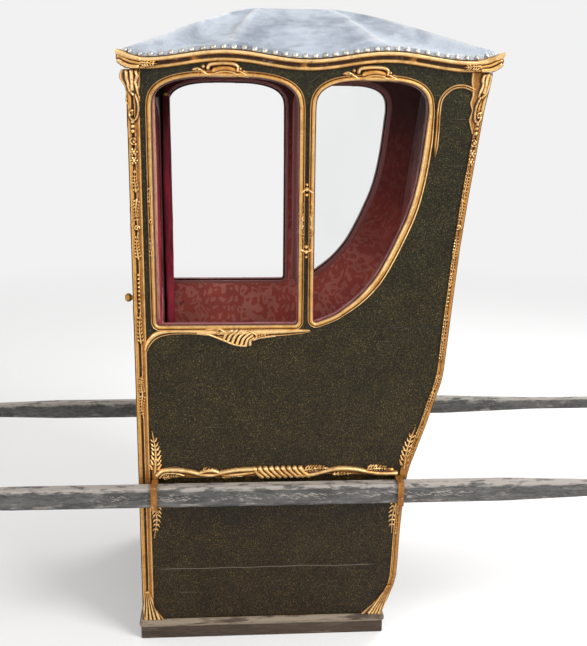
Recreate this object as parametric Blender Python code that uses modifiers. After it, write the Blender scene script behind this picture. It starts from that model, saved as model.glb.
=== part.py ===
"""A sedan chair: a glazed wooden cabin on a plinth, carried on two long poles.

Metres, +Z up. The front faces -X, the sitter's left is -Y, and the plinth stands at zero height.
The front door, the roof and both poles move. Every other piece is fixed to the body.
"""

import math

import bmesh
import bpy
from mathutils import Matrix, Vector

# Body
BODY_WIDTH = 0.665
BODY_FRONT = -0.372
BODY_DEPTH = 0.891
PLINTH_HEIGHT = 0.055
PARTING_HEIGHT = 1.540
PANEL_THICKNESS = 0.022
FIT = 0.0003
MERGE = 0.00001
MITRE_LEAST_SHARE = 0.4

# Back edge of the side, from the roof down: share of the depth, share of the wall height
BACK_SHARES = [
    (1.000, 1.000), (0.992, 0.955), (0.970, 0.855), (0.938, 0.700), (0.913, 0.519),
    (0.903, 0.463), (0.882, 0.422), (0.861, 0.378), (0.828, 0.320), (0.809, 0.281),
    (0.797, 0.211), (0.791, 0.150), (0.786, 0.079), (0.769, 0.043), (0.7425, 0.000),
]
BACK_STEPS = 2

# Posts
POST_SIZE = 0.031
POST_PROUD = 0.006
REAR_POST_WIDTH = 0.018
REAR_POST_INNER = 0.036
BACK_PANEL_THICKNESS = 0.014
BEAD_WIDTH = 0.011
GROOVE_WIDTH = 0.004
GROOVE_DEPTH = 0.003
POST_ROUNDING = 0.002
CORBEL_HEIGHT = 0.150
CORBEL_WIDTH = 0.043
CORBEL_PROUD = 0.004
FOOT_HEIGHT = 0.115
FOOT_WIDTH = 0.058
# Corbel under the cornice, from its top down: share of the height, share of the width at each edge
CORBEL_SHARES = [
    (0.00, 1.00), (0.16, 0.97), (0.27, 0.84), (0.38, 0.78), (0.50, 0.85),
    (0.62, 0.66), (0.78, 0.74), (1.00, 0.40),
]
CORBEL_LEAN_SHARE = 0.70
CARVING_INSET = 0.0035
# Flared foot, from its top down: share of the height, share of the width
FOOT_SHARES = [(0.00, 0.20), (0.40, 0.36), (0.72, 0.62), (0.90, 0.86), (1.00, 1.00)]

# Plinth and floor
PLINTH_PROUD = 0.012
PLINTH_FRONT_PROUD = 0.017
PLINTH_RAIL = 0.060
PLINTH_STEP = 0.044
PLINTH_LIP = 0.004
PLINTH_BACK_PROUD = 0.009
FLOOR_THICKNESS = 0.018

# Linings
LINING_THICKNESS = 0.012
LINING_MARGIN = 0.004
BACK_PADDING = 0.026
LINING_DROP = 0.004

# Cornice and roof
CORNICE_HEIGHT = 0.024
CORNICE_REACH = 0.024
WAVE_START = 0.034
WAVE_END = 0.053
WAVE_RISE = 0.0205
END_RISE = 0.024
ROOF_GAP = 0.0010
ROOF_SEAT = 0.0035
EAR_RISE = 0.012
EAR_REACH = 0.060
EAR_FLARE = 0.005
ROOF_RISE = 0.136
ROOF_THICKNESS = 0.010
ROOF_OVERHANG = 0.007
ROOF_POWER = 1.35
RIM_POWER = 4
CROWN_SETBACK = 0.306
CROWN_LENGTH = 0.184
SIDE_CELLS = 20
END_CELLS = 10
ROOF_RINGS = 7
# Section of the cornice: share of the reach outwards from the wall's face, share of the height
CORNICE_SHARES = [
    (-0.90, 0.00), (0.30, 0.00), (0.42, 0.28), (0.66, 0.34), (0.78, 0.62),
    (1.00, 0.70), (1.00, 1.00), (-0.90, 1.00),
]

# Front side window: its setback from the body's front, and its head below the roof's parting
FRONT_WINDOW_SETBACK = 0.052
FRONT_WINDOW_HEAD = 0.018
FRONT_WINDOW_ARCH = 0.082
WINDOW_SILL = 0.899
SILL_ROUNDING = 0.008
ARCH_POWER = 3.0
ARCH_STEPS = 7

# Rear side window: its setback from the body's back, and its head below the roof's parting
DIVIDER_WIDTH = 0.040
REAR_WINDOW_SETBACK = 0.151
REAR_WINDOW_WIDTH = 0.283
REAR_WINDOW_CROWN_RUN = 0.147
REAR_WINDOW_HEAD = 0.024
REAR_SILL_RISE = 0.005
# Curved edge, from the spring down: share of the window's width, share of the spring's height
REAR_WINDOW_SHARES = [
    (0.990, 0.947), (0.951, 0.766), (0.884, 0.588), (0.775, 0.436), (0.587, 0.241),
    (0.391, 0.120), (0.200, 0.045),
]
GLASS_THICKNESS = 0.003
GLASS_MARGIN = 0.008

# Gilt mouldings
MOULDING_WIDTH = 0.015
MOULDING_PROUD = 0.010
REAR_CURVE_SWELL_SHARE = 1.45
SWELL_START_SHARE = 0.1
SWELL_ROUNDNESS = 0.5
# Section: share of the width from the opening outwards, share of the height
MOULDING_SHARES = [(0.0, 0.0), (0.0, 0.60), (0.35, 1.0), (0.72, 0.78), (1.0, 0.45), (1.0, 0.0)]
BEAD_SHARES = [(-0.5, 0.0), (-0.42, 0.6), (0.0, 1.0), (0.42, 0.6), (0.5, 0.0)]
WAIST_WIDTH = 0.011
WAIST_GAP = 0.0009
WAIST_FALL = 0.050
WAIST_RUN = 0.126
# Scroll at the front end of the waist moulding: share of its run, share of its fall
WAIST_SHARES = [(0.0, 1.0), (0.11, 0.40), (0.38, 0.10), (1.0, 0.0)]
HEAD_BEAD_WIDTH = 0.008
HEAD_BEAD_PROUD = 0.006
HEAD_BEAD_DROP = 0.108
HEAD_BEAD_RISE = 0.072
# Bead from the rear window's moulding over to the rear post: share of the way across, share of the rise
HEAD_BEAD_SHARES = [
    (0.00, 0.00), (0.04, 0.35), (0.10, 0.62), (0.22, 0.84), (0.42, 0.98),
    (0.62, 1.00), (0.82, 0.92), (1.00, 0.80),
]
CLASP_LENGTH = 0.177
CLASP_PLACE = 0.266
CLASP_PROUD = 0.013
CLASP_ROUNDING = 0.001
# Clasp on the divider, on one side from the top down: share of the half width, share of the length
CLASP_SHARES = [
    (0.50, 0.00), (0.90, 0.04), (0.50, 0.10), (1.00, 0.24), (0.55, 0.38), (0.95, 0.50),
    (0.55, 0.62), (1.00, 0.76), (0.50, 0.90), (0.90, 0.96), (0.50, 1.00),
]
GARLAND_MARGIN = 0.019
GARLAND_WIDTH = 0.028
GARLAND_RISE = 0.0215
GARLAND_PROUD = 0.012
GARLAND_WAVES = 4
GARLAND_STEPS = 4
GARLAND_LEAST_SHARE = 0.72
CARTOUCHE_LENGTH = 0.120
CARTOUCHE_HEIGHT = 0.032
CARTOUCHE_RISE = 0.002
SHELL_LENGTH = 0.112
SHELL_HEIGHT = 0.042
SHELL_PLACE = 0.206
ORNAMENT_PROUD = 0.012
ORNAMENT_ROUNDING = 0.003
CARTOUCHE_LOBES = 6
SHELL_LOBES = 7
LOBE_STEPS = 4
LOBE_SHARE = 0.08

# Poles and their brackets
POLE_LENGTH = 2.900
POLE_WIDTH = 0.044
POLE_HEIGHT = 0.055
POLE_BOTTOM = 0.413
POLE_CHAMFER = 0.007
POLE_GRIP = 0.600
POLE_GRIP_RUN = 0.320
POLE_GRIP_SHARE = 0.66
POLE_END_SHARE = 0.58
POLE_END_ROUNDING = 0.012
BRACKET_WIDTH = 0.016
BRACKET_THICKNESS = 0.005
BRACKET_CLEARANCE = 0.0022
BRACKET_REAR_INSET = 0.022
BRACKET_ROUNDING = 0.004
PLATE_WIDTH = 0.023
PLATE_ABOVE = 0.150
PLATE_BELOW = 0.120
PLATE_GAP = 0.001
PLATE_STEPS = 16
PLATE_RIPPLES = 5
PLATE_RIPPLE_SHARE = 0.10
PLATE_END_SHARE = 0.30

# Seat
SEAT_HEIGHT = 0.440
SEAT_BOARD = 0.018
SEAT_SETBACK = 0.322
CUSHION_THICKNESS = 0.080
CUSHION_CLEARANCE = 0.006
CUSHION_OVERHANG = 0.012
CUSHION_ROUNDING = 0.024

# Curtains
CURTAIN_DROP = 0.050
CURTAIN_BOTTOM = 0.700
CURTAIN_DEPTH = 0.028
CURTAIN_WIDTH = 0.056
CURTAIN_FOLDS = 12
CURTAIN_FOLD_SHARE = 0.16
CURTAIN_STEPS = 48

# Door
DOOR_THICKNESS = 0.024
DOOR_CLEARANCE = 0.003
DOOR_SWING_CLEARANCE = 0.005
DOOR_HEAD = 0.062
DOOR_LINING = 0.006
DOOR_WINDOW_SIDE = 0.075
DOOR_WINDOW_TOP = 0.052
DOOR_WINDOW_SPRING = 0.085
DOOR_FIELD_TOP = 0.840
DOOR_FIELD_BOTTOM = 0.130
DOOR_FIELD_SIDE = 0.060
DOOR_FIELD_ROUNDING = 0.050
HANDLE_HEIGHT = 0.960
HANDLE_INSET = 0.032
HANDLE_RADIUS = 0.012
HANDLE_REACH = 0.034
# Turned knob, from its tip back to the door: share of the radius, share of the reach
HANDLE_SHARES = [
    (0.0, 1.0), (0.55, 0.97), (0.95, 0.80), (0.95, 0.62),
    (0.45, 0.42), (0.40, 0.16), (1.3, 0.12), (1.3, 0.0),
]
HANDLE_STEPS = 16

# Hinges
BARREL_RADIUS = 0.005
BARREL_LENGTH = 0.040
BARREL_STEPS = 16
LEAF_THICKNESS = 0.002
LEAF_WIDTH = 0.022
LEAF_SEAT = 0.00125
DOOR_BARREL_OUT = 0.0125
DOOR_BARREL_GAP = 0.0005
DOOR_HINGE_ABOVE_PLINTH = 0.245
DOOR_HINGE_BELOW_HEAD = 0.228
ROOF_BARREL_OUT = 0.011
ROOF_BARREL_DROP = 0.0065
ROOF_HINGE_PLACE = 0.235
ROOF_RAIL_HEIGHT = 0.040

# Worked out from the sizes above
HALF_WIDTH = BODY_WIDTH / 2
BODY_BACK = BODY_FRONT + BODY_DEPTH
WALL_HEIGHT = PARTING_HEIGHT - PLINTH_HEIGHT
POST_FRONT = BODY_FRONT - POST_PROUD
POST_BACK = POST_FRONT + POST_SIZE
POST_OUTER = HALF_WIDTH + POST_PROUD
POST_INNER = POST_OUTER - POST_SIZE
PANEL_INNER = HALF_WIDTH - PANEL_THICKNESS
LINING_INNER = PANEL_INNER - FIT - LINING_THICKNESS
REAR_INNER = HALF_WIDTH - REAR_POST_INNER
BACK_INSET = REAR_POST_WIDTH - BACK_PANEL_THICKNESS
FOOT_BACK = BODY_FRONT + BACK_SHARES[-1][0] * BODY_DEPTH
PLINTH_BACK = FOOT_BACK + PLINTH_BACK_PROUD
WAVE_LOW = BODY_FRONT + WAVE_START
WAVE_PITCH = (BODY_DEPTH - WAVE_START - WAVE_END) / 2
CROWN_START = BODY_FRONT + CROWN_SETBACK
REAR_WINDOW_RIGHT = BODY_BACK - REAR_WINDOW_SETBACK
REAR_WINDOW_LEFT = REAR_WINDOW_RIGHT - REAR_WINDOW_WIDTH
REAR_WINDOW_CROWN = REAR_WINDOW_LEFT + REAR_WINDOW_CROWN_RUN
REAR_WINDOW_TOP = PARTING_HEIGHT - REAR_WINDOW_HEAD
FRONT_WINDOW_LEFT = BODY_FRONT + FRONT_WINDOW_SETBACK
FRONT_WINDOW_RIGHT = REAR_WINDOW_LEFT - DIVIDER_WIDTH
WINDOW_TOP = PARTING_HEIGHT - FRONT_WINDOW_HEAD
WINDOW_SPRING = WINDOW_TOP - FRONT_WINDOW_ARCH
WAIST_TOP = WINDOW_SILL - MOULDING_WIDTH - WAIST_GAP
SHELL_CENTRE = FRONT_WINDOW_LEFT + SHELL_PLACE
SEAT_FRONT = BODY_FRONT + SEAT_SETBACK
CURTAIN_TOP = PARTING_HEIGHT - CURTAIN_DROP
DOOR_TOP = PARTING_HEIGHT - DOOR_HEAD
DOOR_HINGES = [
    ("lower", PLINTH_HEIGHT + DOOR_HINGE_ABOVE_PLINTH),
    ("upper", DOOR_TOP - DOOR_HINGE_BELOW_HEAD),
]
GARLAND_HEIGHT = POLE_BOTTOM + POLE_HEIGHT + GARLAND_RISE
FLOOR_TOP = PLINTH_HEIGHT + FIT + FLOOR_THICKNESS
BRACKET_FRONT = POST_BACK + PLATE_GAP + PLATE_WIDTH / 2
POLE_INNER = POST_OUTER + FIT + BRACKET_THICKNESS + BRACKET_CLEARANCE
POLE_MIDDLE = POLE_INNER + POLE_WIDTH / 2
DOOR_FACE = BODY_FRONT
DOOR_BACK = DOOR_FACE + DOOR_THICKNESS
DOOR_HALF = POST_INNER - DOOR_CLEARANCE
LINING_START = DOOR_BACK + FIT + DOOR_LINING + DOOR_SWING_CLEARANCE
DOOR_AXIS_X = DOOR_FACE - DOOR_BARREL_OUT
DOOR_AXIS_Y = POST_INNER - DOOR_BARREL_GAP
ROOF_AXIS_X = BODY_BACK + ROOF_BARREL_OUT
ROOF_AXIS_Z = PARTING_HEIGHT - ROOF_BARREL_DROP

# Directions in which a flat outline is laid: seen from the left side, from the front, or from above
SIDE_VIEW = (math.pi / 2, 0.0, 0.0)
FRONT_VIEW = (math.pi / 2, 0.0, math.pi / 2)
PLAN_VIEW = (0.0, 0.0, 0.0)
ACROSS = {SIDE_VIEW: 2, FRONT_VIEW: 0, PLAN_VIEW: 1}


def clear_scene():
    for thing in list(bpy.data.objects):
        bpy.data.objects.remove(thing, do_unlink=True)


clear_scene()
parts = bpy.data.collections.new("sedan_chair")
helpers = bpy.data.collections.new("helpers")
bpy.context.scene.collection.children.link(parts)
bpy.context.scene.collection.children.link(helpers)
helpers.hide_render = True


def finish(name, colour, roughness, metallic=0.0, transmission=0.0):
    made = bpy.data.materials.new(name)
    made.use_nodes = True
    shader = made.node_tree.nodes["Principled BSDF"]
    shader.inputs["Base Color"].default_value = (*colour, 1.0)
    shader.inputs["Roughness"].default_value = roughness
    shader.inputs["Metallic"].default_value = metallic
    shader.inputs["Transmission Weight"].default_value = transmission
    made.diffuse_color = (*colour, 1.0)
    return made


VARNISH = finish("dark_varnish", (0.055, 0.052, 0.036), 0.42)
GILT = finish("gilt_wood", (0.62, 0.38, 0.11), 0.38, 0.55)
PLINTH_WOOD = finish("plinth_wood", (0.16, 0.13, 0.10), 0.70)
POLE_WOOD = finish("weathered_pole", (0.20, 0.20, 0.19), 0.72)
INNER_WOOD = finish("inner_wood", (0.24, 0.15, 0.08), 0.62)
SILK = finish("crimson_silk", (0.33, 0.10, 0.09), 0.55)
VELVET = finish("crimson_velvet", (0.30, 0.02, 0.05), 0.85)
LEATHER = finish("blue_grey_leather", (0.42, 0.48, 0.56), 0.50)
GLASS = finish("window_glass", (0.90, 0.93, 0.92), 0.05, 0.0, 0.9)
BRASS = finish("brass", (0.60, 0.44, 0.18), 0.30, 1.0)


def axis_empty(name, place):
    empty = bpy.data.objects.new(name, None)
    empty.location = place
    parts.objects.link(empty)
    return empty


BODY = axis_empty("body_frame", (0.0, 0.0, 0.0))
DOOR = axis_empty("door_axis", (DOOR_AXIS_X, DOOR_AXIS_Y, PLINTH_HEIGHT))
ROOF = axis_empty("roof_axis", (ROOF_AXIS_X, 0.0, ROOF_AXIS_Z))
POLE_HOLDERS = {
    side: axis_empty(f"pole_axis_{side}", (0.0, way * POLE_MIDDLE, POLE_BOTTOM + POLE_HEIGHT / 2))
    for side, way in (("left", -1.0), ("right", 1.0))
}


def add_part(name, mesh, skin, view=PLAN_VIEW, holder=BODY):
    """Links a mesh as a named piece, turned to its view and carried by its holder."""
    mesh.name = name
    mesh.materials.clear()
    mesh.materials.append(skin)
    part = bpy.data.objects.new(name, mesh)
    part.rotation_euler = view
    parts.objects.link(part)
    part.parent = holder
    part.matrix_parent_inverse = Matrix.Translation(-holder.location)
    return part


def mirrored(mesh, axis):
    """A copy of the mesh on the other side of the chair."""
    copy = mesh.copy()
    copy.transform(Matrix.Diagonal([-1.0 if axis == i else 1.0 for i in range(3)] + [1.0]))
    copy.flip_normals()
    return copy


def add_pair(name, mesh, skin, view=SIDE_VIEW, holders=(BODY, BODY)):
    """The piece on the left of the chair and its mirror image on the right."""
    other = mirrored(mesh, ACROSS[view])
    add_part(f"{name}_left", mesh, skin, view, holders[0])
    add_part(f"{name}_right", other, skin, view, holders[1])


def closed_mesh(curve):
    """The curve's surface as one welded mesh with its faces pointing out."""
    guide = bpy.data.objects.new("guide", curve)
    helpers.objects.link(guide)
    graph = bpy.context.evaluated_depsgraph_get()
    mesh = bpy.data.meshes.new_from_object(guide.evaluated_get(graph))
    bpy.data.objects.remove(guide, do_unlink=True)
    work = bmesh.new()
    work.from_mesh(mesh)
    bmesh.ops.remove_doubles(work, verts=work.verts, dist=MERGE)
    bmesh.ops.recalc_face_normals(work, faces=work.faces)
    work.to_mesh(mesh)
    work.free()
    return mesh


def flat_curve(lines, closed=True, swells=None):
    curve = bpy.data.curves.new("outline", "CURVE")
    curve.dimensions = "2D"
    for line in lines:
        spline = curve.splines.new("POLY")
        spline.points.add(len(line) - 1)
        for i, spot in enumerate(line):
            spline.points[i].co = (spot[0], spot[1], 0.0, 1.0)
            if swells:
                spline.points[i].radius = swells[i]
        spline.use_cyclic_u = closed
    return curve


def extruded(lines, low, high, rounding=0.0, edge_steps=1):
    """A plate of the first outline, less the other outlines, between two levels, with rounded edges."""
    curve = flat_curve(lines)
    curve.fill_mode = "BOTH"
    curve.extrude = (high - low) / 2 - rounding
    curve.bevel_depth = rounding
    curve.bevel_resolution = edge_steps
    curve.offset = -rounding
    mesh = closed_mesh(curve)
    mesh.transform(Matrix.Translation((0.0, 0.0, (low + high) / 2)))
    return mesh


def swept(line, section, level, closed=True, swells=None):
    """The section carried along a flat line, seated at a level. Its first axis points right of the line."""
    profile = bpy.data.objects.new("section", flat_curve([section]))
    helpers.objects.link(profile)
    curve = flat_curve([line], closed, swells)
    curve.fill_mode = "NONE"
    curve.bevel_mode = "OBJECT"
    curve.bevel_object = profile
    curve.use_fill_caps = not closed
    mesh = closed_mesh(curve)
    bpy.data.objects.remove(profile, do_unlink=True)
    mesh.transform(Matrix.Translation((0.0, 0.0, level)))
    return mesh


def scaled(shares, width, height):
    return [Vector((across * width, up * height)) for across, up in shares]


def smooth_line(spots, steps):
    """Points along a smooth curve through the given ones."""
    spots = [Vector(spot) for spot in spots]
    last = len(spots) - 1
    line = []
    for i in range(last):
        start, end = spots[i], spots[i + 1]
        lead = (end - spots[max(i - 1, 0)]) / 6
        trail = (spots[min(i + 2, last)] - start) / 6
        for step in range(steps):
            t = step / steps
            line.append(
                (1 - t) ** 3 * start
                + 3 * t * (1 - t) ** 2 * (start + lead)
                + 3 * t**2 * (1 - t) * (end - trail)
                + t**3 * end
            )
    line.append(spots[last])
    return line


def moved_line(line, distance, closed=False):
    """The line moved sideways to its right, with its corners kept sharp."""
    count = len(line)
    moved = []
    for i, spot in enumerate(line):
        before = line[(i - 1) % count if closed else max(i - 1, 0)]
        after = line[(i + 1) % count if closed else min(i + 1, count - 1)]
        into = (spot - before).normalized()
        out = (after - spot).normalized()
        if into.length == 0:
            into = out
        if out.length == 0:
            out = into
        right = Vector((into.y + out.y, -into.x - out.x)).normalized()
        moved.append(spot + right * distance / max(right.dot(Vector((into.y, -into.x))), MITRE_LEAST_SHARE))
    return moved


def at_height(line, height):
    """The point at a height on a line that runs downwards, or on its first or last stretch made longer."""
    below = next((i for i, spot in enumerate(line) if spot.y < height), len(line) - 1)
    upper, lower = line[max(below, 1) - 1], line[max(below, 1)]
    return upper.lerp(lower, (upper.y - height) / (upper.y - lower.y))


def levelled(line, high, low):
    """A line that runs downwards, cut or lengthened to end at two heights."""
    return [at_height(line, high), *(spot for spot in line if low < spot.y < high), at_height(line, low)]


def arch(left, right, crown, spring, top):
    """The rounded head of a window from its left spring to its right one."""
    line = []
    for i in range(2 * ARCH_STEPS + 1):
        angle = math.pi * (1 - i / (2 * ARCH_STEPS))
        along = abs(math.cos(angle)) ** (2 / ARCH_POWER)
        half = crown - left if i < ARCH_STEPS else right - crown
        side = -1.0 if i < ARCH_STEPS else 1.0
        rise = abs(math.sin(angle)) ** (2 / ARCH_POWER)
        line.append(Vector((crown + side * along * half, spring + rise * (top - spring))))
    return line


def corner(centre, radius, start, steps=3):
    """A quarter turn to the right, starting at an angle in quarter turns."""
    angles = [(start - step / steps) * math.pi / 2 for step in range(steps + 1)]
    return [Vector((centre[0] + radius * math.cos(a), centre[1] + radius * math.sin(a))) for a in angles]


def rounded_box(left, right, low, high, radius, steps=3):
    """A rectangle with rounded corners, drawn clockwise."""
    return (
        corner((left + radius, high - radius), radius, 2, steps)
        + corner((right - radius, high - radius), radius, 1, steps)
        + corner((right - radius, low + radius), radius, 0, steps)
        + corner((left + radius, low + radius), radius, 3, steps)
    )


def box_mesh(low, high):
    work = bmesh.new()
    bmesh.ops.create_cube(work, size=1.0)
    for vertex in work.verts:
        for axis in range(3):
            middle = (low[axis] + high[axis]) / 2
            vertex.co[axis] = middle + vertex.co[axis] * (high[axis] - low[axis])
    mesh = bpy.data.meshes.new("box")
    work.to_mesh(mesh)
    work.free()
    return mesh


def joined(first, second):
    """Two overlapping solids made one."""
    carrier = bpy.data.objects.new("carrier", first)
    joiner = bpy.data.objects.new("joiner", second)
    helpers.objects.link(carrier)
    helpers.objects.link(joiner)
    union = carrier.modifiers.new("union", "BOOLEAN")
    union.operation = "UNION"
    union.solver = "EXACT"
    union.object = joiner
    graph = bpy.context.evaluated_depsgraph_get()
    mesh = bpy.data.meshes.new_from_object(carrier.evaluated_get(graph))
    bpy.data.objects.remove(carrier, do_unlink=True)
    bpy.data.objects.remove(joiner, do_unlink=True)
    return mesh


def parting_height(x, y):
    """Height at which the roof sits: a double wave along the sides, one arch along each end."""
    wave = (1 - math.cos(2 * math.pi * (x - WAVE_LOW) / WAVE_PITCH)) / 2
    bow = (1 + math.cos(2 * math.pi * y / BODY_WIDTH)) / 2
    return PARTING_HEIGHT + WAVE_RISE * wave + END_RISE * bow


def parting_line(left, right, cells, drop):
    """Top edge of a side piece, drawn from left to right."""
    places = [left + (right - left) * i / cells for i in range(cells + 1)]
    return [Vector((x, parting_height(x, HALF_WIDTH) - drop)) for x in places]


back_line = smooth_line(
    [(BODY_FRONT + across * BODY_DEPTH, PLINTH_HEIGHT + up * WALL_HEIGHT) for across, up in BACK_SHARES],
    BACK_STEPS,
)
BRACKET_REAR = at_height(back_line, POLE_BOTTOM + POLE_HEIGHT / 2).x - BRACKET_REAR_INSET


def wall_line(inset, high=PARTING_HEIGHT, low=PLINTH_HEIGHT + FIT):
    """The back edge moved into the body, running down between two heights."""
    return levelled(moved_line(back_line, inset), high, low)


def front_window(grown=0.0):
    """Outline of the front side window, drawn clockwise, grown by a margin."""
    middle = (FRONT_WINDOW_LEFT + FRONT_WINDOW_RIGHT) / 2
    radius = SILL_ROUNDING
    line = arch(FRONT_WINDOW_LEFT, FRONT_WINDOW_RIGHT, middle, WINDOW_SPRING, WINDOW_TOP)
    line += corner((FRONT_WINDOW_RIGHT - radius, WINDOW_SILL + radius), radius, 0)
    line += corner((FRONT_WINDOW_LEFT + radius, WINDOW_SILL + radius), radius, 3)
    return moved_line(line, -grown, closed=True)


def rear_window(grown=0.0):
    """Outline of the rear side window, drawn clockwise, grown by a margin."""
    width, height = REAR_WINDOW_WIDTH, WINDOW_SPRING - WINDOW_SILL
    line = arch(REAR_WINDOW_LEFT, REAR_WINDOW_RIGHT, REAR_WINDOW_CROWN, WINDOW_SPRING, REAR_WINDOW_TOP)
    low = Vector((REAR_WINDOW_LEFT, WINDOW_SILL))
    line += smooth_line([low + spot for spot in scaled(REAR_WINDOW_SHARES, width, height)], 2)
    sill = WINDOW_SILL + REAR_SILL_RISE
    line += corner((REAR_WINDOW_LEFT + SILL_ROUNDING, sill + SILL_ROUNDING), SILL_ROUNDING, 3)
    return moved_line(line, -grown, closed=True)


def make_plinth_and_floor():
    outer = HALF_WIDTH + PLINTH_PROUD
    front = BODY_FRONT - PLINTH_FRONT_PROUD
    corners = [(front, -outer), (front, outer), (PLINTH_BACK, outer), (PLINTH_BACK, -outer)]
    ring = [Vector(spot) for spot in corners]
    section = [
        (0.0, 0.0), (0.0, PLINTH_STEP), (PLINTH_LIP, PLINTH_STEP + PLINTH_LIP), (PLINTH_LIP, PLINTH_HEIGHT),
        (PLINTH_RAIL, PLINTH_HEIGHT), (PLINTH_RAIL, 0.0),
    ]
    add_part("plinth", swept(ring, section, 0.0), PLINTH_WOOD)
    low = (BODY_FRONT + DOOR_THICKNESS + LINING_THICKNESS, -LINING_INNER + FIT, PLINTH_HEIGHT + FIT)
    back = wall_line(REAR_POST_WIDTH + FIT)[-1].x
    high = (back, LINING_INNER - FIT, FLOOR_TOP)
    add_part("floor_board", box_mesh(low, high), INNER_WOOD)


def make_posts():
    half = [
        (POST_BACK, POST_OUTER - POST_ROUNDING), (POST_BACK - POST_ROUNDING, POST_OUTER),
        (POST_FRONT + BEAD_WIDTH + GROOVE_WIDTH, POST_OUTER),
        (POST_FRONT + BEAD_WIDTH + GROOVE_WIDTH, POST_OUTER - GROOVE_DEPTH),
        (POST_FRONT + BEAD_WIDTH, POST_OUTER - GROOVE_DEPTH),
        (POST_FRONT + BEAD_WIDTH, POST_OUTER - POST_ROUNDING),
        (POST_FRONT + BEAD_WIDTH - POST_ROUNDING, POST_OUTER), (POST_FRONT + 2 * POST_ROUNDING, POST_OUTER),
    ]
    other = [(POST_FRONT + POST_OUTER - y, POST_OUTER - x + POST_FRONT) for x, y in reversed(half)]
    section = [(x, -y) for x, y in half + other + [(POST_BACK, POST_INNER)]]
    top = PARTING_HEIGHT - FIT
    shaft = extruded([section], PLINTH_HEIGHT + FIT, top)
    shaft.transform(Matrix.Rotation(-math.pi / 2, 4, "X"))
    front_edge = [Vector((POST_FRONT, top)), Vector((POST_FRONT, PLINTH_HEIGHT + FIT))]
    post = joined(joined(shaft, corbel(front_edge, -1.0)), foot(front_edge, 1.0))
    add_pair("front_post", post, GILT)
    edge = wall_line(0.0, top)
    outline = edge + list(reversed(wall_line(REAR_POST_WIDTH, top)))
    post = extruded([outline], REAR_INNER, POST_OUTER, POST_ROUNDING, 0)
    post = joined(joined(post, corbel(edge, 1.0)), foot(edge, -1.0))
    add_pair("rear_post", post, GILT)


def corbel(edge, outwards):
    """The corbel at a post's head. The front one overhangs its post, the rear one follows the back."""
    top = edge[0].y - ROOF_GAP
    inner, outer = [], []
    for down, wide in CORBEL_SHARES:
        spot = at_height(edge, top - down * CORBEL_HEIGHT)
        width = wide * CORBEL_WIDTH
        lean = CORBEL_LEAN_SHARE * (width - POST_SIZE) if outwards < 0 else -CARVING_INSET
        outer.append(spot + Vector((outwards * lean, 0.0)))
        inner.append(outer[-1] - Vector((outwards * width, 0.0)))
    return carving(outer + list(reversed(inner)))


def foot(edge, inwards):
    """The flared foot of a post, standing on the plinth."""
    low = edge[-1].y
    outer, inner = [], []
    for down, wide in FOOT_SHARES:
        spot = at_height(edge, low + (1 - down) * FOOT_HEIGHT)
        outer.append(spot + Vector((inwards * CARVING_INSET, 0.0)))
        inner.append(spot + Vector((inwards * wide * FOOT_WIDTH, 0.0)))
    return carving(outer + list(reversed(inner)))


def carving(outline):
    """A carved block on a post's outer face."""
    return extruded([outline], HALF_WIDTH + FIT, POST_OUTER + CORBEL_PROUD, POST_ROUNDING, 0)


def make_walls():
    inner_edge = wall_line(REAR_POST_WIDTH + FIT)
    left = POST_BACK + FIT
    low = PLINTH_HEIGHT + FIT
    top = parting_line(left, inner_edge[0].x, SIDE_CELLS, ROOF_GAP)
    outline = [Vector((left, low))] + top + inner_edge[1:]
    panel = extruded([outline, front_window(), rear_window()], PANEL_INNER, HALF_WIDTH)
    add_pair("side_panel", panel, VARNISH)
    glass = extruded([rear_window(GLASS_MARGIN)], PANEL_INNER - FIT - GLASS_THICKNESS, PANEL_INNER - FIT)
    add_pair("rear_glass", glass, GLASS)
    rail_low = PARTING_HEIGHT - ROOF_RAIL_HEIGHT
    outline = wall_line(BACK_INSET, rail_low - FIT)
    outline += list(reversed(wall_line(REAR_POST_WIDTH, rail_low - FIT)))
    half = REAR_INNER - FIT
    add_part("back_panel", extruded([outline], -half, half), VARNISH, SIDE_VIEW)
    x_high = wall_line(BACK_INSET)[0].x
    x_low = x_high - BACK_PANEL_THICKNESS
    rail = rail_outline(half, rail_low, x_low)
    add_part("back_rail", extruded([rail], x_low, x_high), VARNISH, FRONT_VIEW)
    x_low, x_high = DOOR_FACE, DOOR_BACK
    half = POST_INNER - FIT
    lintel = rail_outline(half, DOOR_TOP + DOOR_CLEARANCE, x_high, END_RISE)
    add_part("door_lintel", extruded([lintel], x_low, x_high), VARNISH, FRONT_VIEW)


def bowed(half, base, rise, cells=END_CELLS):
    """An arched line across the chair, from the left side to the right one."""
    places = [half * (2 * i / cells - 1) for i in range(cells + 1)]
    return [Vector((y, base + rise * (1 + math.cos(2 * math.pi * y / BODY_WIDTH)) / 2)) for y in places]


def rail_outline(half, low, x, rise=0.0):
    """A rail across the chair, with its top edge under the roof and its lower edge at or over a height."""
    top = bowed(half, parting_height(x, HALF_WIDTH) - ROOF_GAP, END_RISE)
    return list(reversed(top)) + bowed(half, low, rise, END_CELLS if rise else 1)


def make_linings():
    start = LINING_START
    top = PARTING_HEIGHT - LINING_DROP
    inner = wall_line(REAR_POST_WIDTH + FIT, top, FLOOR_TOP + FIT)
    outline = [Vector((start, FLOOR_TOP + FIT)), Vector((start, top))] + inner
    cuts = [front_window(LINING_MARGIN), rear_window(GLASS_MARGIN + FIT)]
    outer = PANEL_INNER - FIT
    add_pair("side_lining", extruded([outline, *cuts], outer - LINING_THICKNESS, outer), SILK)
    padding = inner + list(reversed(wall_line(REAR_POST_WIDTH + BACK_PADDING, top, FLOOR_TOP + FIT)))
    half = LINING_INNER - FIT
    add_part("back_lining", extruded([padding], -half, half), SILK, SIDE_VIEW)


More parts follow.
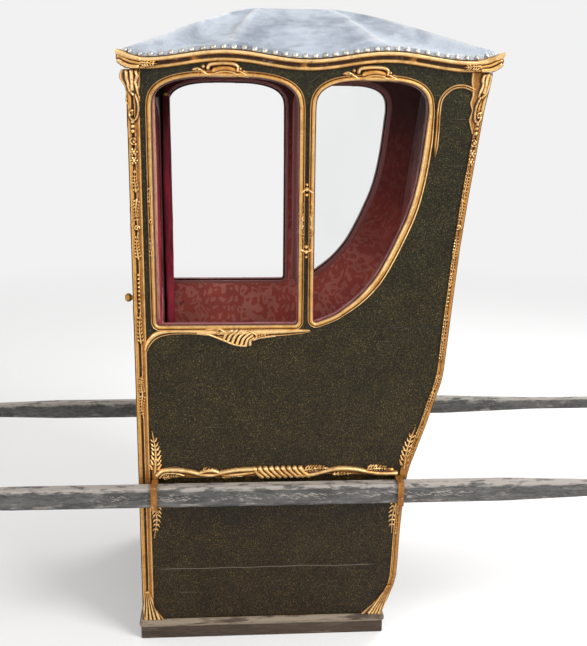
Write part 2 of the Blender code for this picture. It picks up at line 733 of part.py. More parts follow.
def make_mouldings():
    section = scaled(MOULDING_SHARES, -MOULDING_WIDTH, MOULDING_PROUD)
    level = HALF_WIDTH + FIT
    middle = (FRONT_WINDOW_LEFT + FRONT_WINDOW_RIGHT) / 2
    frame = swept(front_window(), section, level)
    add_pair("front_window_moulding", joined(frame, cartouche(middle, WINDOW_TOP)), GILT)
    line = rear_window()
    swells = [1.0 + (REAR_CURVE_SWELL_SHARE - 1.0) * rear_swell(spot) for spot in line]
    frame = swept(line, section, level, True, swells)
    frame = joined(frame, cartouche(REAR_WINDOW_CROWN, REAR_WINDOW_TOP))
    add_pair("rear_window_moulding", joined(frame, head_bead(level)), GILT)
    start = POST_BACK + PLATE_GAP + WAIST_WIDTH / 2
    run = WAIST_TOP - WAIST_WIDTH / 2
    waist = [(start + across * WAIST_RUN, run - down * WAIST_FALL) for across, down in WAIST_SHARES]
    waist = smooth_line([*waist, (SHELL_CENTRE, run), (FRONT_WINDOW_RIGHT + MOULDING_WIDTH, run)], 3)
    bead = scaled(BEAD_SHARES, WAIST_WIDTH, MOULDING_PROUD)
    centre = (SHELL_CENTRE, WAIST_TOP - SHELL_HEIGHT / 2)
    shell = ornament(lobed(centre, SHELL_LENGTH, SHELL_HEIGHT, SHELL_LOBES))
    add_pair("waist_moulding", joined(swept(waist, bead, level, False), shell), GILT)
    add_pair("pole_garland", garland(level), GILT)
    add_pair("divider_clasp", divider_clasp(level), GILT)


def divider_clasp(level):
    """The knotted ornament that fills the gap between the two windows' mouldings."""
    middle = FRONT_WINDOW_RIGHT + DIVIDER_WIDTH / 2
    top = WINDOW_SILL + CLASP_PLACE + CLASP_LENGTH / 2
    half = DIVIDER_WIDTH / 2 - MOULDING_WIDTH - FIT
    right = [(middle + across * half, top - down * CLASP_LENGTH) for across, down in CLASP_SHARES]
    left = [(2 * middle - x, y) for x, y in reversed(right)]
    return extruded([right + left], level, level + CLASP_PROUD, CLASP_ROUNDING, 0)


def head_bead(level):
    """The bead that leaves the rear window's moulding and arches over to the rear post."""
    left = REAR_WINDOW_RIGHT + MOULDING_WIDTH - HEAD_BEAD_WIDTH / 2
    low = REAR_WINDOW_TOP - HEAD_BEAD_DROP
    right = at_height(back_line, low + HEAD_BEAD_RISE).x - CORBEL_WIDTH - 2 * PLATE_GAP
    line = smooth_line(
        [(left + across * (right - left), low + up * HEAD_BEAD_RISE) for across, up in HEAD_BEAD_SHARES], 2
    )
    return swept(line, scaled(BEAD_SHARES, HEAD_BEAD_WIDTH, HEAD_BEAD_PROUD), level, False)


def garland(level):
    """The carved strip over the pole, swelling and shrinking along its length."""
    left, right = BRACKET_FRONT + GARLAND_MARGIN, BRACKET_REAR - GARLAND_MARGIN
    count = 2 * GARLAND_WAVES * GARLAND_STEPS
    places = [left + (right - left) * i / count for i in range(count + 1)]
    line = [Vector((x, GARLAND_HEIGHT)) for x in places]
    waves = [math.cos(GARLAND_WAVES * math.pi * i / count) ** 2 for i in range(count + 1)]
    swells = [GARLAND_LEAST_SHARE + (1 - GARLAND_LEAST_SHARE) * wave for wave in waves]
    return swept(line, scaled(BEAD_SHARES, GARLAND_WIDTH, GARLAND_PROUD), level, False, swells)


def rear_swell(spot):
    """How far the moulding swells: not at all along the divider and head, most half way down the curve."""
    down = (WINDOW_SPRING - spot.y) / (WINDOW_SPRING - WINDOW_SILL)
    aside = (spot.x - REAR_WINDOW_LEFT) / (REAR_WINDOW_RIGHT - REAR_WINDOW_LEFT)
    if down <= 0 or aside < SWELL_START_SHARE:
        return 0.0
    return math.sin(math.pi * min(down, 1.0)) ** SWELL_ROUNDNESS


def lobed(centre, length, height, lobes):
    """A scalloped oval, drawn clockwise."""
    line = []
    count = LOBE_STEPS * lobes
    for i in range(count):
        angle = -2 * math.pi * i / count
        reach = (1 + LOBE_SHARE * math.cos(lobes * angle)) / (1 + LOBE_SHARE) / 2
        across = centre[0] + length * reach * math.cos(angle)
        line.append(Vector((across, centre[1] + height * reach * math.sin(angle))))
    return line


def ornament(outline):
    """A carved boss seated on the side's face."""
    return extruded([outline], HALF_WIDTH + FIT, HALF_WIDTH + FIT + ORNAMENT_PROUD, ORNAMENT_ROUNDING)


def cartouche(x, head):
    """The boss that crowns a window's moulding."""
    centre = (x, head + CARTOUCHE_RISE + CARTOUCHE_HEIGHT / 2)
    return ornament(lobed(centre, CARTOUCHE_LENGTH, CARTOUCHE_HEIGHT, CARTOUCHE_LOBES))


def make_brackets():
    inner = BRACKET_CLEARANCE
    outer = BRACKET_CLEARANCE + BRACKET_THICKNESS
    left, right = -(POLE_INNER + POLE_WIDTH), -POLE_INNER
    low, high = POLE_BOTTOM, POLE_BOTTOM + POLE_HEIGHT
    face = -(POST_OUTER + FIT)
    base = low - FIT - BRACKET_THICKNESS
    shell = rounded_box(left - outer, face, base, high + outer, BRACKET_ROUNDING, 2)
    hole = rounded_box(left - inner, right + inner, low - FIT, high + inner, BRACKET_ROUNDING / 2, 2)
    for name, x in (("front_bracket", BRACKET_FRONT), ("rear_bracket", BRACKET_REAR)):
        mesh = extruded([shell, hole], x - BRACKET_WIDTH / 2, x + BRACKET_WIDTH / 2)
        add_pair(name, mesh, GILT, FRONT_VIEW)
    high = POLE_BOTTOM + POLE_HEIGHT + PLATE_ABOVE
    low = POLE_BOTTOM - PLATE_BELOW
    x = POST_BACK + PLATE_GAP
    add_pair("front_strap_plate", strap_plate([Vector((x, high)), Vector((x, low))], 1.0), GILT)
    add_pair("rear_strap_plate", strap_plate(wall_line(REAR_POST_WIDTH + PLATE_GAP, high, low), -1.0), GILT)


def strap_plate(edge, side):
    """The carved leaf that a strap is nailed to. One side follows an edge, the other one ripples."""
    high, low = edge[0].y, edge[-1].y
    straight, rippled = [], []
    for i in range(PLATE_STEPS + 1):
        along = i / PLATE_STEPS
        spot = at_height(edge, high + (low - high) * along)
        swell = PLATE_END_SHARE + (1 - PLATE_END_SHARE - PLATE_RIPPLE_SHARE) * math.sin(math.pi * along)
        swell += PLATE_RIPPLE_SHARE * math.sin(PLATE_RIPPLES * math.pi * along) ** 2
        straight.append(spot)
        rippled.append(spot + Vector((side * PLATE_WIDTH * swell, 0.0)))
    return extruded([straight + list(reversed(rippled))], HALF_WIDTH + FIT, POST_OUTER)


def make_poles():
    half_width, half_height = POLE_WIDTH / 2, POLE_HEIGHT / 2
    cut = POLE_CHAMFER
    section = [
        (-half_width, cut - half_height), (-half_width, half_height - cut), (cut - half_width, half_height),
        (half_width - cut, half_height), (half_width, half_height - cut), (half_width, cut - half_height),
        (half_width - cut, -half_height), (cut - half_width, -half_height),
    ]
    end = POLE_LENGTH / 2
    # Along each half of the pole: distance from the middle, share of the full section
    stations = [
        (end - POLE_GRIP - POLE_GRIP_RUN, 1.0), (end - POLE_GRIP, POLE_GRIP_SHARE),
        (end - POLE_END_ROUNDING, POLE_GRIP_SHARE), (end, POLE_END_SHARE),
    ]
    stations = [(-x, share) for x, share in reversed(stations)] + stations
    line = [Vector((x, 0.0)) for x, _ in stations]
    mesh = swept(line, section, POLE_BOTTOM + half_height, False, [share for _, share in stations])
    mesh.transform(Matrix.Translation((0.0, -POLE_MIDDLE, 0.0)))
    add_pair("pole", mesh, POLE_WOOD, PLAN_VIEW, (POLE_HOLDERS["left"], POLE_HOLDERS["right"]))


def make_seat():
    back_inset = REAR_POST_WIDTH + BACK_PADDING + FIT
    under = wall_line(back_inset, SEAT_HEIGHT, SEAT_HEIGHT - SEAT_BOARD)
    front = SEAT_FRONT
    outline = [
        Vector((front, FLOOR_TOP + FIT)), Vector((front, SEAT_HEIGHT)), under[0], under[-1],
        Vector((front + SEAT_BOARD, SEAT_HEIGHT - SEAT_BOARD)),
        Vector((front + SEAT_BOARD, FLOOR_TOP + FIT)),
    ]
    half = LINING_INNER - FIT
    add_part("seat_bench", extruded([outline], -half, half), INNER_WOOD, SIDE_VIEW)
    low = SEAT_HEIGHT + FIT
    high = low + CUSHION_THICKNESS
    rear = wall_line(back_inset, high, low)[-1].x - CUSHION_CLEARANCE
    outline = rounded_box(front - CUSHION_OVERHANG, rear, low, high, CUSHION_ROUNDING)
    half = LINING_INNER - CUSHION_CLEARANCE
    add_part("seat_cushion", extruded([outline], -half, half, CUSHION_CLEARANCE), SILK, SIDE_VIEW)


def make_curtains():
    x = LINING_START + CURTAIN_DEPTH / 2
    y = -(LINING_INNER - FIT - CURTAIN_WIDTH / 2)
    outline = []
    for i in range(CURTAIN_STEPS):
        angle = -2 * math.pi * i / CURTAIN_STEPS
        reach = (1 + CURTAIN_FOLD_SHARE * math.cos(CURTAIN_FOLDS * angle)) / (1 + CURTAIN_FOLD_SHARE) / 2
        across, along = CURTAIN_DEPTH * reach * math.cos(angle), CURTAIN_WIDTH * reach * math.sin(angle)
        outline.append(Vector((x + across, y + along)))
    add_pair("curtain", extruded([outline], CURTAIN_BOTTOM, CURTAIN_TOP), VELVET, PLAN_VIEW)


def ring_mesh(line, section):
    """The section carried round the wall line, then lifted to follow the roof's parting line."""
    mesh = swept(line, section, 0.0)
    middle = (BODY_FRONT + BODY_BACK) / 2
    for vertex in mesh.vertices:
        x, y = vertex.co.x, vertex.co.y
        vertex.co.z += parting_height(x, y) + EAR_RISE * ear(x, y) * vertex.co.z / CORNICE_HEIGHT
        vertex.co.x += math.copysign(EAR_FLARE * ear(x, y), x - middle)
        vertex.co.y += math.copysign(EAR_FLARE * ear(x, y), y)
    return mesh


def ear(x, y):
    """Share by which the cornice turns up and out, from 1 at the four corners to 0 a little way off."""
    ahead = min(abs(x - BODY_FRONT + CORNICE_REACH), abs(x - BODY_BACK - CORNICE_REACH))
    aside = HALF_WIDTH + CORNICE_REACH - abs(y)
    return max(0.0, 1 - math.hypot(ahead, aside) / EAR_REACH)


def wall_ring(grown):
    """The walls' outline from above, drawn clockwise, with a point at each cell's end."""
    left, right = BODY_FRONT - grown, BODY_BACK + grown
    half = HALF_WIDTH + grown
    ring = []
    corners = [(left, -half), (left, half), (right, half), (right, -half)]
    for i, start in enumerate(corners):
        end = corners[(i + 1) % 4]
        cells = SIDE_CELLS if i % 2 else END_CELLS
        for step in range(cells):
            ring.append(Vector(start).lerp(Vector(end), step / cells))
    return ring


def dome_mesh(lift, thickness):
    """A domed sheet whose rings shrink from the wall line to a short crown line, thickened downwards."""
    ring = wall_ring(ROOF_OVERHANG)
    count = len(ring)
    length = BODY_DEPTH + 2 * ROOF_OVERHANG
    work = bmesh.new()
    bmesh.ops.create_grid(work, x_segments=count, y_segments=ROOF_RINGS, size=0.5)
    for vertex in work.verts:
        around = round((vertex.co.x + 0.5) * count) % count
        share = round((vertex.co.y + 0.5) * ROOF_RINGS) / ROOF_RINGS
        edge = ring[around]
        crown = Vector((CROWN_START + CROWN_LENGTH * (edge.x - ring[0].x) / length, 0.0))
        spot = crown.lerp(edge, share)
        rim = parting_height(edge.x, edge.y) + EAR_RISE * ear(edge.x, edge.y) - PARTING_HEIGHT
        height = PARTING_HEIGHT + CORNICE_HEIGHT + lift + rim * share**RIM_POWER
        vertex.co = (spot.x, spot.y, height + ROOF_RISE * (1 - share**ROOF_POWER))
    bmesh.ops.remove_doubles(work, verts=work.verts, dist=MERGE)
    grown = bmesh.ops.extrude_face_region(work, geom=list(work.faces))
    lower = [thing for thing in grown["geom"] if isinstance(thing, bmesh.types.BMVert)]
    bmesh.ops.translate(work, verts=lower, vec=(0.0, 0.0, -thickness))
    bmesh.ops.recalc_face_normals(work, faces=work.faces)
    mesh = bpy.data.meshes.new("dome")
    work.to_mesh(mesh)
    work.free()
    return mesh


def make_roof():
    section = scaled(CORNICE_SHARES, -CORNICE_REACH, CORNICE_HEIGHT)
    add_part("cornice", ring_mesh(wall_ring(0.0), section), GILT, PLAN_VIEW, ROOF)
    add_part("roof_shell", dome_mesh(ROOF_THICKNESS + ROOF_SEAT, ROOF_THICKNESS), LEATHER, PLAN_VIEW, ROOF)


def make_door():
    half = DOOR_HALF
    low = PLINTH_HEIGHT + DOOR_CLEARANCE
    top = bowed(half, DOOR_TOP, END_RISE)
    outline = list(reversed(top)) + [Vector((-half, low)), Vector((half, low))]
    side = half - DOOR_WINDOW_SIDE
    head = DOOR_TOP + END_RISE - DOOR_WINDOW_TOP
    spring = head - DOOR_WINDOW_SPRING

    def window(grown=0.0):
        line = arch(-side, side, 0.0, spring, head)
        line += corner((side - SILL_ROUNDING, WINDOW_SILL + SILL_ROUNDING), SILL_ROUNDING, 0)
        line += corner((SILL_ROUNDING - side, WINDOW_SILL + SILL_ROUNDING), SILL_ROUNDING, 3)
        return moved_line(line, -grown, closed=True)

    add_part("door_panel", extruded([outline, window()], DOOR_FACE, DOOR_BACK), VARNISH, FRONT_VIEW, DOOR)
    inside = DOOR_BACK + FIT
    glass = extruded([window(GLASS_MARGIN)], inside, inside + GLASS_THICKNESS)
    add_part("door_glass", glass, GLASS, FRONT_VIEW, DOOR)
    edge = half - LINING_THICKNESS
    field = rounded_box(-edge, edge, FLOOR_TOP + DOOR_CLEARANCE, DOOR_TOP - LINING_DROP, SILL_ROUNDING)
    lining = extruded([field, window(GLASS_MARGIN + FIT)], inside, inside + DOOR_LINING)
    add_part("door_lining", lining, SILK, FRONT_VIEW, DOOR)
    section = scaled(MOULDING_SHARES, -MOULDING_WIDTH, -MOULDING_PROUD)
    level = DOOR_FACE - FIT
    add_part("door_window_moulding", swept(window(), section, level), GILT, FRONT_VIEW, DOOR)
    side = half - DOOR_FIELD_SIDE
    field = rounded_box(-side, side, DOOR_FIELD_BOTTOM, DOOR_FIELD_TOP, DOOR_FIELD_ROUNDING, 5)
    add_part("door_field_moulding", swept(field, section, level), GILT, FRONT_VIEW, DOOR)
    make_handle(level)


def make_handle(level):
    """A turned knob on a round plate, made by spinning its half outline."""
    profile = scaled(HANDLE_SHARES, HANDLE_RADIUS, HANDLE_REACH)
    mesh = bpy.data.meshes.new("knob_profile")
    mesh.from_pydata([(x, 0.0, z) for x, z in profile], [(i, i + 1) for i in range(len(profile) - 1)], [])
    knob = bpy.data.objects.new("knob", mesh)
    helpers.objects.link(knob)
    screw = knob.modifiers.new("turn", "SCREW")
    screw.steps = HANDLE_STEPS
    screw.render_steps = HANDLE_STEPS
    screw.use_merge_vertices = True
    screw.merge_threshold = MERGE
    graph = bpy.context.evaluated_depsgraph_get()
    turned = bpy.data.meshes.new_from_object(knob.evaluated_get(graph))
    bpy.data.objects.remove(knob, do_unlink=True)
    work = bmesh.new()
    work.from_mesh(turned)
    bmesh.ops.remove_doubles(work, verts=work.verts, dist=MERGE)
    bmesh.ops.holes_fill(work, edges=work.edges)
    bmesh.ops.recalc_face_normals(work, faces=work.faces)
    work.to_mesh(turned)
    work.free()
    place = Matrix.Translation((level, HANDLE_INSET - DOOR_HALF, HANDLE_HEIGHT))
    turned.transform(place @ Matrix.Rotation(-math.pi / 2, 4, "Y"))
    add_part("door_handle", turned, BRASS, PLAN_VIEW, DOOR)


def barrel_mesh(start, length, direction):
    """A round hinge barrel from its start along an axis."""
    work = bmesh.new()
    radius = BARREL_RADIUS
    bmesh.ops.create_cone(
        work, cap_ends=True, segments=BARREL_STEPS, radius1=radius, radius2=radius, depth=length
    )
    turn = Vector((0.0, 0.0, 1.0)).rotation_difference(Vector(direction)).to_matrix().to_4x4()
    middle = Vector(start) + Vector(direction) * length / 2
    work.transform(Matrix.Translation(middle) @ turn)
    mesh = bpy.data.meshes.new("barrel")
    work.to_mesh(mesh)
    work.free()
    return mesh


def make_door_hinges():
    half = BARREL_LENGTH / 2
    for name, z in DOOR_HINGES:
        axis = (DOOR_AXIS_X, DOOR_AXIS_Y)
        barrel = barrel_mesh((*axis, z - half), half - FIT, (0.0, 0.0, 1.0))
        front = POST_FRONT - FIT
        outer = front - LEAF_THICKNESS - LEAF_SEAT
        leaf = box_mesh((outer, axis[1], z - half), (front, axis[1] + LEAF_WIDTH, z - FIT))
        add_part(f"{name}_hinge_post_leaf", joined(leaf, barrel), BRASS)
        barrel = barrel_mesh((*axis, z + FIT), half - FIT, (0.0, 0.0, 1.0))
        face = DOOR_FACE - FIT
        near = axis[1] - BARREL_RADIUS / 2
        leaf = box_mesh((axis[0], axis[1] - LEAF_WIDTH, z + FIT), (face, near, z + half))
        add_part(f"{name}_hinge_door_leaf", joined(leaf, barrel), BRASS, PLAN_VIEW, DOOR)


def make_roof_hinges():
    half = BARREL_LENGTH / 2
    wall = wall_line(BACK_INSET)[0].x + FIT
    for side, way in (("left", -1.0), ("right", 1.0)):
        y = way * ROOF_HINGE_PLACE
        barrel = barrel_mesh((ROOF_AXIS_X, y - half, ROOF_AXIS_Z), half - FIT, (0.0, 1.0, 0.0))
        leaf = box_mesh((wall, y - half, ROOF_AXIS_Z - LEAF_WIDTH), (ROOF_AXIS_X, y - FIT, ROOF_AXIS_Z))
        add_part(f"{side}_roof_hinge_wall_leaf", joined(leaf, barrel), BRASS)
        barrel = barrel_mesh((ROOF_AXIS_X, y + FIT, ROOF_AXIS_Z), half - FIT, (0.0, 1.0, 0.0))
        top = parting_height(ROOF_AXIS_X, y + way * half) - FIT
        leaf = box_mesh((ROOF_AXIS_X, y + FIT, ROOF_AXIS_Z), (ROOF_AXIS_X + BARREL_RADIUS, y + half, top))
        add_part(f"{side}_roof_hinge_roof_leaf", joined(leaf, barrel), BRASS, PLAN_VIEW, ROOF)


make_plinth_and_floor()
make_posts()
make_walls()
make_linings()
make_mouldings()
make_brackets()
make_poles()
make_seat()
make_curtains()
make_roof()
make_door()
make_door_hinges()
make_roof_hinges()
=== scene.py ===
"""A sedan chair dressed for its picture: speckled varnish, carved gilt mouldings, nailed leather and silk.

Metres, +Z up. The front faces -X and the sitter's left is -Y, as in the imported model.
"""

import math

import bmesh
import bpy
import numpy as np
from mathutils import Matrix, Vector


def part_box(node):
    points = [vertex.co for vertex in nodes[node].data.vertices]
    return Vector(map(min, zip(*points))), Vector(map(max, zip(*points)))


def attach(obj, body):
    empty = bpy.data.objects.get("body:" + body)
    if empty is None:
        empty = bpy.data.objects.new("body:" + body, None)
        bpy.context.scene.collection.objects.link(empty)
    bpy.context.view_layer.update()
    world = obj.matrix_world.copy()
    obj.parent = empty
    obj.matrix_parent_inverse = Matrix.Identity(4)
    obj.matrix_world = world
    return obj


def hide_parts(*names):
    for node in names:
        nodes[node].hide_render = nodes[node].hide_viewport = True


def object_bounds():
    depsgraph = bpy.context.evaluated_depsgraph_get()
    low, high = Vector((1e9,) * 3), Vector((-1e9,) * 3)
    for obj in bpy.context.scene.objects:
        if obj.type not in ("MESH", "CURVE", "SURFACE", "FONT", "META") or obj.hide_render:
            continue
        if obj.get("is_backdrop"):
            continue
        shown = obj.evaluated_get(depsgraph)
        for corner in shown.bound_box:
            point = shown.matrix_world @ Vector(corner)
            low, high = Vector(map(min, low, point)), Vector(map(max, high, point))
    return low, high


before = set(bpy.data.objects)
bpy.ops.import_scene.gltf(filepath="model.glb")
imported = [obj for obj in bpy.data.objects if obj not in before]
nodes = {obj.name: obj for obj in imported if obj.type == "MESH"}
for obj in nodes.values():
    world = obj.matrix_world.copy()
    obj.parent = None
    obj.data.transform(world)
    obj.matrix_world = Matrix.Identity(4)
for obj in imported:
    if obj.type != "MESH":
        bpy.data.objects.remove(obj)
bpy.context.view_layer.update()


# The studio
# A pale floor that fades into a pale backdrop, and three soft lamps: the strongest high on the right, one
# behind and one on the left. The backdrop's brightness is kept apart from the light that falls on the chair.
BACKDROP = (0.885, 0.885, 0.885, 1.0)
FLOOR_RADIUS = 14.0
FLOOR_LIFT = 0.17


def wire(tree, kind, inputs=None, **settings):
    """Adds a shader node with its settings. An input takes a value, or another node's output."""
    made = tree.nodes.new(kind)
    for name, value in settings.items():
        setattr(made, name, value)
    for name, value in (inputs or {}).items():
        if isinstance(value, bpy.types.NodeSocket):
            tree.links.new(value, made.inputs[name])
        else:
            made.inputs[name].default_value = value
    return made


def product(tree, first, second, operation="MULTIPLY"):
    return wire(tree, "ShaderNodeMath", {0: first, 1: second}, operation=operation).outputs[0]


def light_the_room():
    world = bpy.data.worlds.new("studio")
    world.use_nodes = True
    tree = world.node_tree
    tree.nodes.clear()
    rays = wire(tree, "ShaderNodeLightPath").outputs
    seen = wire(tree, "ShaderNodeMath", {0: rays["Is Camera Ray"], 1: rays["Is Glossy Ray"]}, operation="MAXIMUM")
    seen = wire(tree, "ShaderNodeMath", {0: seen.outputs[0], 1: rays["Is Transmission Ray"]}, operation="MAXIMUM")
    light = wire(tree, "ShaderNodeBackground", {"Color": (1.0, 0.99, 0.98, 1.0), "Strength": 0.56})
    shown = wire(tree, "ShaderNodeBackground", {"Color": BACKDROP, "Strength": 1.0})
    both = wire(tree, "ShaderNodeMixShader", {0: seen.outputs[0], 1: light.outputs[0], 2: shown.outputs[0]})
    wire(tree, "ShaderNodeOutputWorld", {"Surface": both.outputs[0]})
    bpy.context.scene.world = world


def hang_lamp(name, place, size, power):
    data = bpy.data.lights.new(name, "AREA")
    data.size = size
    data.energy = power
    lamp = bpy.data.objects.new(name, data)
    lamp.location = place
    lamp.rotation_mode = "QUATERNION"
    aim = Vector((0.0, 0.0, 0.9)) - Vector(place)
    lamp.rotation_quaternion = aim.to_track_quat("-Z", "Y")
    bpy.context.scene.collection.objects.link(lamp)


def lay_the_floor():
    work = bmesh.new()
    bmesh.ops.create_circle(work, cap_ends=True, segments=96, radius=FLOOR_RADIUS)
    mesh = bpy.data.meshes.new("floor")
    work.to_mesh(mesh)
    work.free()
    floor = bpy.data.objects.new("floor", mesh)
    bpy.context.scene.collection.objects.link(floor)
    skin = bpy.data.materials.new("pale_floor")
    skin.use_nodes = True
    tree = skin.node_tree
    shader = tree.nodes["Principled BSDF"]
    shader.inputs["Base Color"].default_value = (0.86, 0.86, 0.86, 1.0)
    shader.inputs["Roughness"].default_value = 0.9
    shader.inputs["Specular IOR Level"].default_value = 0.1
    place = wire(tree, "ShaderNodeTexCoord")
    far = wire(tree, "ShaderNodeVectorMath", {0: place.outputs["Object"]}, operation="LENGTH")
    fade = wire(tree, "ShaderNodeMapRange", {0: far.outputs["Value"], 1: 2.0, 2: 6.0})
    plain = wire(tree, "ShaderNodeEmission", {"Color": BACKDROP, "Strength": 1.0})
    rays = wire(tree, "ShaderNodeLightPath").outputs
    lift = product(tree, rays["Is Camera Ray"], FLOOR_LIFT)
    lift = wire(tree, "ShaderNodeEmission", {"Color": BACKDROP, "Strength": lift})
    near = wire(tree, "ShaderNodeAddShader", {0: shader.outputs[0], 1: lift.outputs[0]})
    both = wire(tree, "ShaderNodeMixShader", {0: fade.outputs[0], 1: near.outputs[0], 2: plain.outputs[0]})
    tree.links.new(both.outputs[0], tree.nodes["Material Output"].inputs["Surface"])
    mesh.materials.append(skin)
    floor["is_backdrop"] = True


def set_up_the_camera():
    """The photograph's view: from the chair's left side, level with the window heads."""
    data = bpy.data.cameras.new("camera")
    data.lens = 51.83
    camera = bpy.data.objects.new("camera", data)
    right = Vector((0.99772, -0.06732, 0.0085))
    up = Vector((0.00697, 0.23067, 0.97302))
    back = Vector((-0.06753, -0.97071, 0.23062))
    camera.rotation_mode = "QUATERNION"
    camera.rotation_quaternion = Matrix((right, up, back)).transposed().to_quaternion()
    camera.location = (-0.1293, -2.6895, 1.462)
    bpy.context.scene.collection.objects.link(camera)
    bpy.context.scene.camera = camera


light_the_room()
hang_lamp("key_lamp", (3.2, -3.0, 4.2), 2.2, 200.0)
hang_lamp("rear_lamp", (2.4, 2.6, 3.4), 1.8, 70.0)
hang_lamp("fill_lamp", (-3.0, -3.4, 2.6), 2.4, 42.0)
lay_the_floor()
set_up_the_camera()
bpy.context.scene.view_settings.view_transform = "Standard"


# The plinth
# A heavy oak frame that the whole cabin stands on, painted brown-black long ago and scuffed back to grey.
# Its top edge carries a thin moulding, paler where feet and hands have rubbed it.
PLINTH_CORNER = 0.010
PLINTH_RUBBED = 0.036
# Section, from the inner foot outwards and round: inset from the outermost face, height
PLINTH_SECTION = [
    (0.060, 0.000), (0.0062, 0.000), (0.0045, 0.0015), (0.0045, 0.0340), (0.0030, 0.0365), (0.0008, 0.0385),
    (0.0000, 0.0420), (0.0002, 0.0470), (0.0012, 0.0500), (0.0036, 0.0512), (0.0042, 0.0535),
    (0.0055, 0.0550), (0.060, 0.0550),
]


def tint(red, green, blue):
    """A colour written as it looks on screen, 0 to 255, in the shader's own linear numbers."""
    def linear(value):
        value /= 255
        return value / 12.92 if value <= 0.04045 else ((value + 0.055) / 1.055) ** 2.4
    return (linear(red), linear(green), linear(blue), 1.0)


def new_finish(name, roughness, metallic=0.0, **fixed):
    """A new material with its shader's steady numbers. It gives the material, its tree and its shader."""
    skin = bpy.data.materials.new(name)
    skin.use_nodes = True
    shader = skin.node_tree.nodes["Principled BSDF"]
    shader.inputs["Roughness"].default_value = roughness
    shader.inputs["Metallic"].default_value = metallic
    for label, value in fixed.items():
        shader.inputs[label.replace("_", " ")].default_value = value
    return skin, skin.node_tree, shader


def new_effect(name, takes, gives):
    """A shader group with named inputs and outputs. It gives the group, its inputs' node and its outputs' node."""
    tree = bpy.data.node_groups.new(name, "ShaderNodeTree")
    for label, kind, value in takes:
        socket = tree.interface.new_socket(label, in_out="INPUT", socket_type=kind)
        if value is not None:
            socket.default_value = value
    for label, kind in gives:
        tree.interface.new_socket(label, in_out="OUTPUT", socket_type=kind)
    return tree, tree.nodes.new("NodeGroupInput"), tree.nodes.new("NodeGroupOutput")


def ramp(tree, value, stops):
    """Colours along a value: (place, colour) pairs."""
    made = wire(tree, "ShaderNodeValToRGB", {0: value})
    marks = made.color_ramp.elements
    while len(marks) < len(stops):
        marks.new(0.5)
    for mark, (place, colour) in zip(marks, stops):
        mark.position = place
        mark.color = colour
    return made.outputs["Color"]


def span(tree, value, low, high, out_low=0.0, out_high=1.0):
    """The value carried from one range to another, and held at its ends."""
    return wire(tree, "ShaderNodeMapRange", {0: value, 1: low, 2: high, 3: out_low, 4: out_high}).outputs[0]


def blend(tree, share, first, second, way="MIX"):
    """One colour over another by a share."""
    made = wire(tree, "ShaderNodeMix", {0: share, 6: first, 7: second}, data_type="RGBA", blend_type=way)
    return made.outputs[2]


def toned(tree, colour, tone):
    return blend(tree, 1.0, colour, tone, "MULTIPLY")


def darkened(tree, colour, share):
    """A colour made darker or lighter by a share. 1 leaves it as it is."""
    return toned(tree, colour, wire(tree, "ShaderNodeCombineXYZ", {0: share, 1: share, 2: share}).outputs[0])


def bump(tree, shader, height, depth):
    made = wire(tree, "ShaderNodeBump", {"Height": height, "Distance": depth, "Strength": 1.0})
    tree.links.new(made.outputs["Normal"], shader.inputs["Normal"])


def place_in(tree, stretch=(1.0, 1.0, 1.0)):
    """The piece's own places, in metres, stretched along each axis."""
    spot = wire(tree, "ShaderNodeTexCoord").outputs["Object"]
    return wire(tree, "ShaderNodeVectorMath", {0: spot, 1: stretch}, operation="MULTIPLY").outputs[0]


def cloud(tree, spot, scale, detail=3.0, roughness=0.5, distortion=0.0):
    made = wire(tree, "ShaderNodeTexNoise", {
        "Vector": spot, "Scale": scale, "Detail": detail, "Roughness": roughness, "Distortion": distortion,
    })
    return made.outputs["Fac"]


def add_piece(name, chunks, skin, body, stands_for=(), crease=50.0):
    """Joins closed chunks of (points, faces, marks) into one piece, hangs it on its body's empty and hides the imported
    nodes it stands for.
    """
    points = np.vstack([chunk[0] for chunk in chunks])
    marks = np.concatenate([chunk[2] for chunk in chunks])
    faces = []
    base = 0
    for spots, rings, _ in chunks:
        faces += [tuple(int(i) + base for i in ring) for ring in rings]
        base += len(spots)
    mesh = bpy.data.meshes.new(name)
    mesh.from_pydata(points.tolist(), [], faces)
    mesh.attributes.new("relief", "FLOAT", "POINT").data.foreach_set("value", marks.astype(np.float32))
    mesh.shade_smooth()
    mesh.set_sharp_from_angle(angle=math.radians(crease))
    mesh.materials.append(skin)
    piece = bpy.data.objects.new(name, mesh)
    bpy.context.scene.collection.objects.link(piece)
    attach(piece, body)
    if stands_for:
        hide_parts(*stands_for)
    return piece


def facing_out(points, quads, others=()):
    """The faces of a closed chunk, turned so that they face outwards."""
    spots = points - points.mean(axis=0)
    a, b, c, d = (spots[quads[:, k]] for k in range(4))
    volume = (np.cross(a, b) * c).sum() + (np.cross(a, c) * d).sum()
    rings = [tuple(ring) for ring in quads] + [tuple(ring) for ring in others]
    return [ring[::-1] for ring in rings] if volume < 0 else rings


def lofted(rows, closed=False):
    """A closed chunk from rings of equal length, (rows, places, 3), with flat ends unless the rows meet."""
    count, wide = rows.shape[:2]
    index = np.arange(count * wide).reshape(count, wide)
    after = np.roll(index, -1, axis=0) if closed else index[1:]
    start = index if closed else index[:-1]
    quads = np.stack([start, np.roll(start, -1, axis=1), np.roll(after, -1, axis=1), after], axis=-1)
    points = rows.reshape(-1, 3)
    ends = [] if closed else [index[0][::-1], index[-1]]
    return points, facing_out(points, quads.reshape(-1, 4), ends), np.full(len(points), 0.5)


